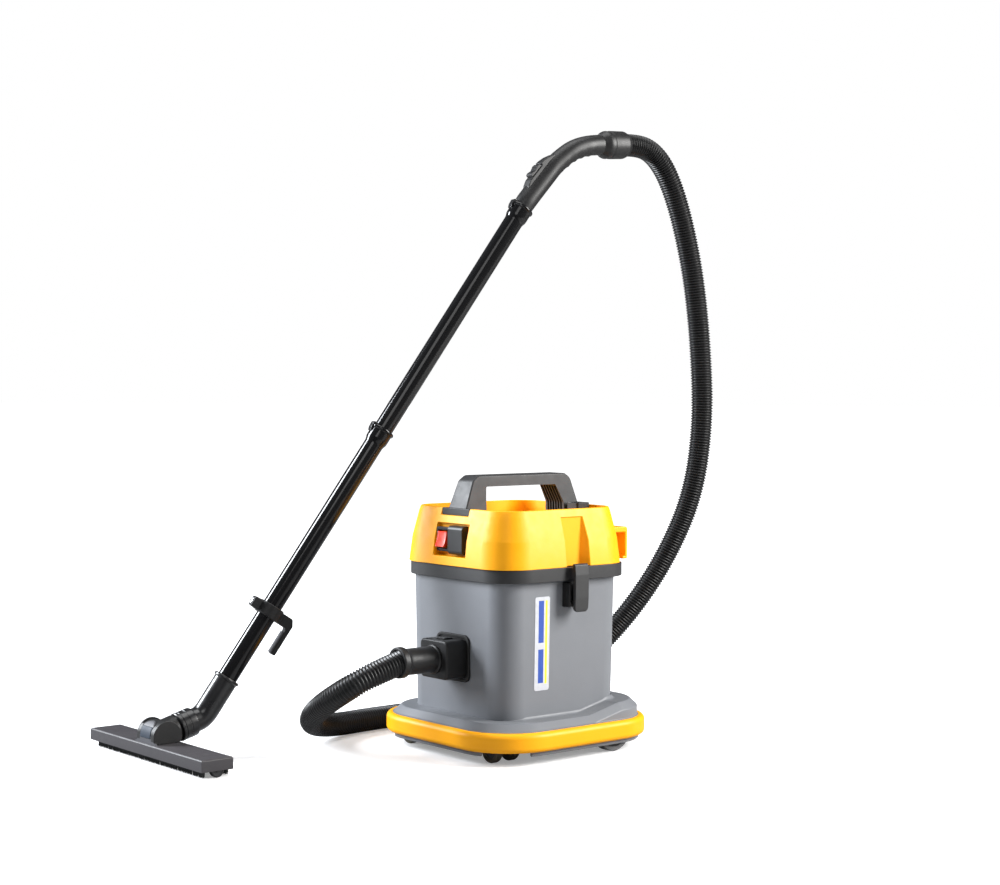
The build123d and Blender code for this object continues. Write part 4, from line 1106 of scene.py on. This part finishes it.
def camera_sees(tree, seen, lighting, output):
    """The camera sees one shader, and the light on the object comes from the other."""
    path, mix = tree.nodes.new("ShaderNodeLightPath"), tree.nodes.new("ShaderNodeMixShader")
    tree.links.new(path.outputs["Is Camera Ray"], mix.inputs["Fac"])
    tree.links.new(lighting, mix.inputs[1])
    tree.links.new(seen, mix.inputs[2])
    tree.links.new(mix.outputs["Shader"], output.inputs["Surface"])


def area_light(name, at, towards, width, height, power, colour):
    data = bpy.data.lights.new(name, "AREA")
    data.shape = "RECTANGLE"
    data.size, data.size_y = width, height
    data.energy = power
    data.color = colour
    lamp = added(name, data)
    lamp.location = at
    lamp.rotation_euler = (Vector(towards) - Vector(at)).to_track_quat("-Z", "Y").to_euler()


def make_studio():
    """A white room without a horizon: the floor fades into a white world, and soft boxes shape the object."""
    sides = 96
    rings = [[Vector((r * cos(a), r * sin(a), 0)) for a in angles(sides)] for r in FLOOR_RINGS]
    floor = strip("studio_floor", rings, capped=False)
    centre = solid("studio_floor_middle", [v.co for v in floor.data.vertices[:sides]], [tuple(range(sides))])
    material = bpy.data.materials.new("studio_floor")
    tree, shader = node_tree(material)
    nodes, links = tree.nodes, tree.links
    set_inputs(shader, Roughness=0.75, Specular_IOR_Level=0.1, Emission_Color=(1, 1, 1, 1))
    grain = noise(tree, 2.0, 3, 0.5)
    links.new(ramp(tree, grain, 0.3, 0.7, (0.80, 0.80, 0.805), (0.82, 0.82, 0.825)),
              shader.inputs["Base Color"])
    coordinates, fade = nodes.new("ShaderNodeTexCoord"), nodes.new("ShaderNodeMapRange")
    length = nodes.new("ShaderNodeVectorMath")
    length.operation = "LENGTH"
    links.new(coordinates.outputs["Object"], length.inputs[0])
    links.new(length.outputs["Value"], fade.inputs["Value"])
    set_inputs(fade, From_Min=1.0, From_Max=3.6, To_Min=FLOOR_GLOW, To_Max=1.1)
    links.new(fade.outputs["Result"], shader.inputs["Emission Strength"])
    dim = nodes.new("ShaderNodeBsdfDiffuse")
    set_inputs(dim, Color=(FLOOR_BOUNCE, FLOOR_BOUNCE, FLOOR_BOUNCE, 1))
    camera_sees(tree, shader.outputs["BSDF"], dim.outputs["BSDF"], nodes["Material Output"])
    for obj in (floor, centre):
        obj.data.materials.append(material)
    world = bpy.data.worlds.new("studio")
    bpy.context.scene.world = world
    world.use_nodes = True
    nodes = world.node_tree.nodes
    seen, lighting = nodes["Background"], nodes.new("ShaderNodeBackground")
    set_inputs(lighting, Color=(0.92, 0.95, 1.0, 1), Strength=WORLD_LIGHT)
    set_inputs(seen, Color=(1, 1, 1, 1), Strength=1.0)
    camera_sees(world.node_tree, seen.outputs["Background"], lighting.outputs["Background"],
                nodes["World Output"])
    for light in LIGHTS:
        area_light(*light)
    bpy.context.scene.view_settings.view_transform = "Standard"


make_studio()
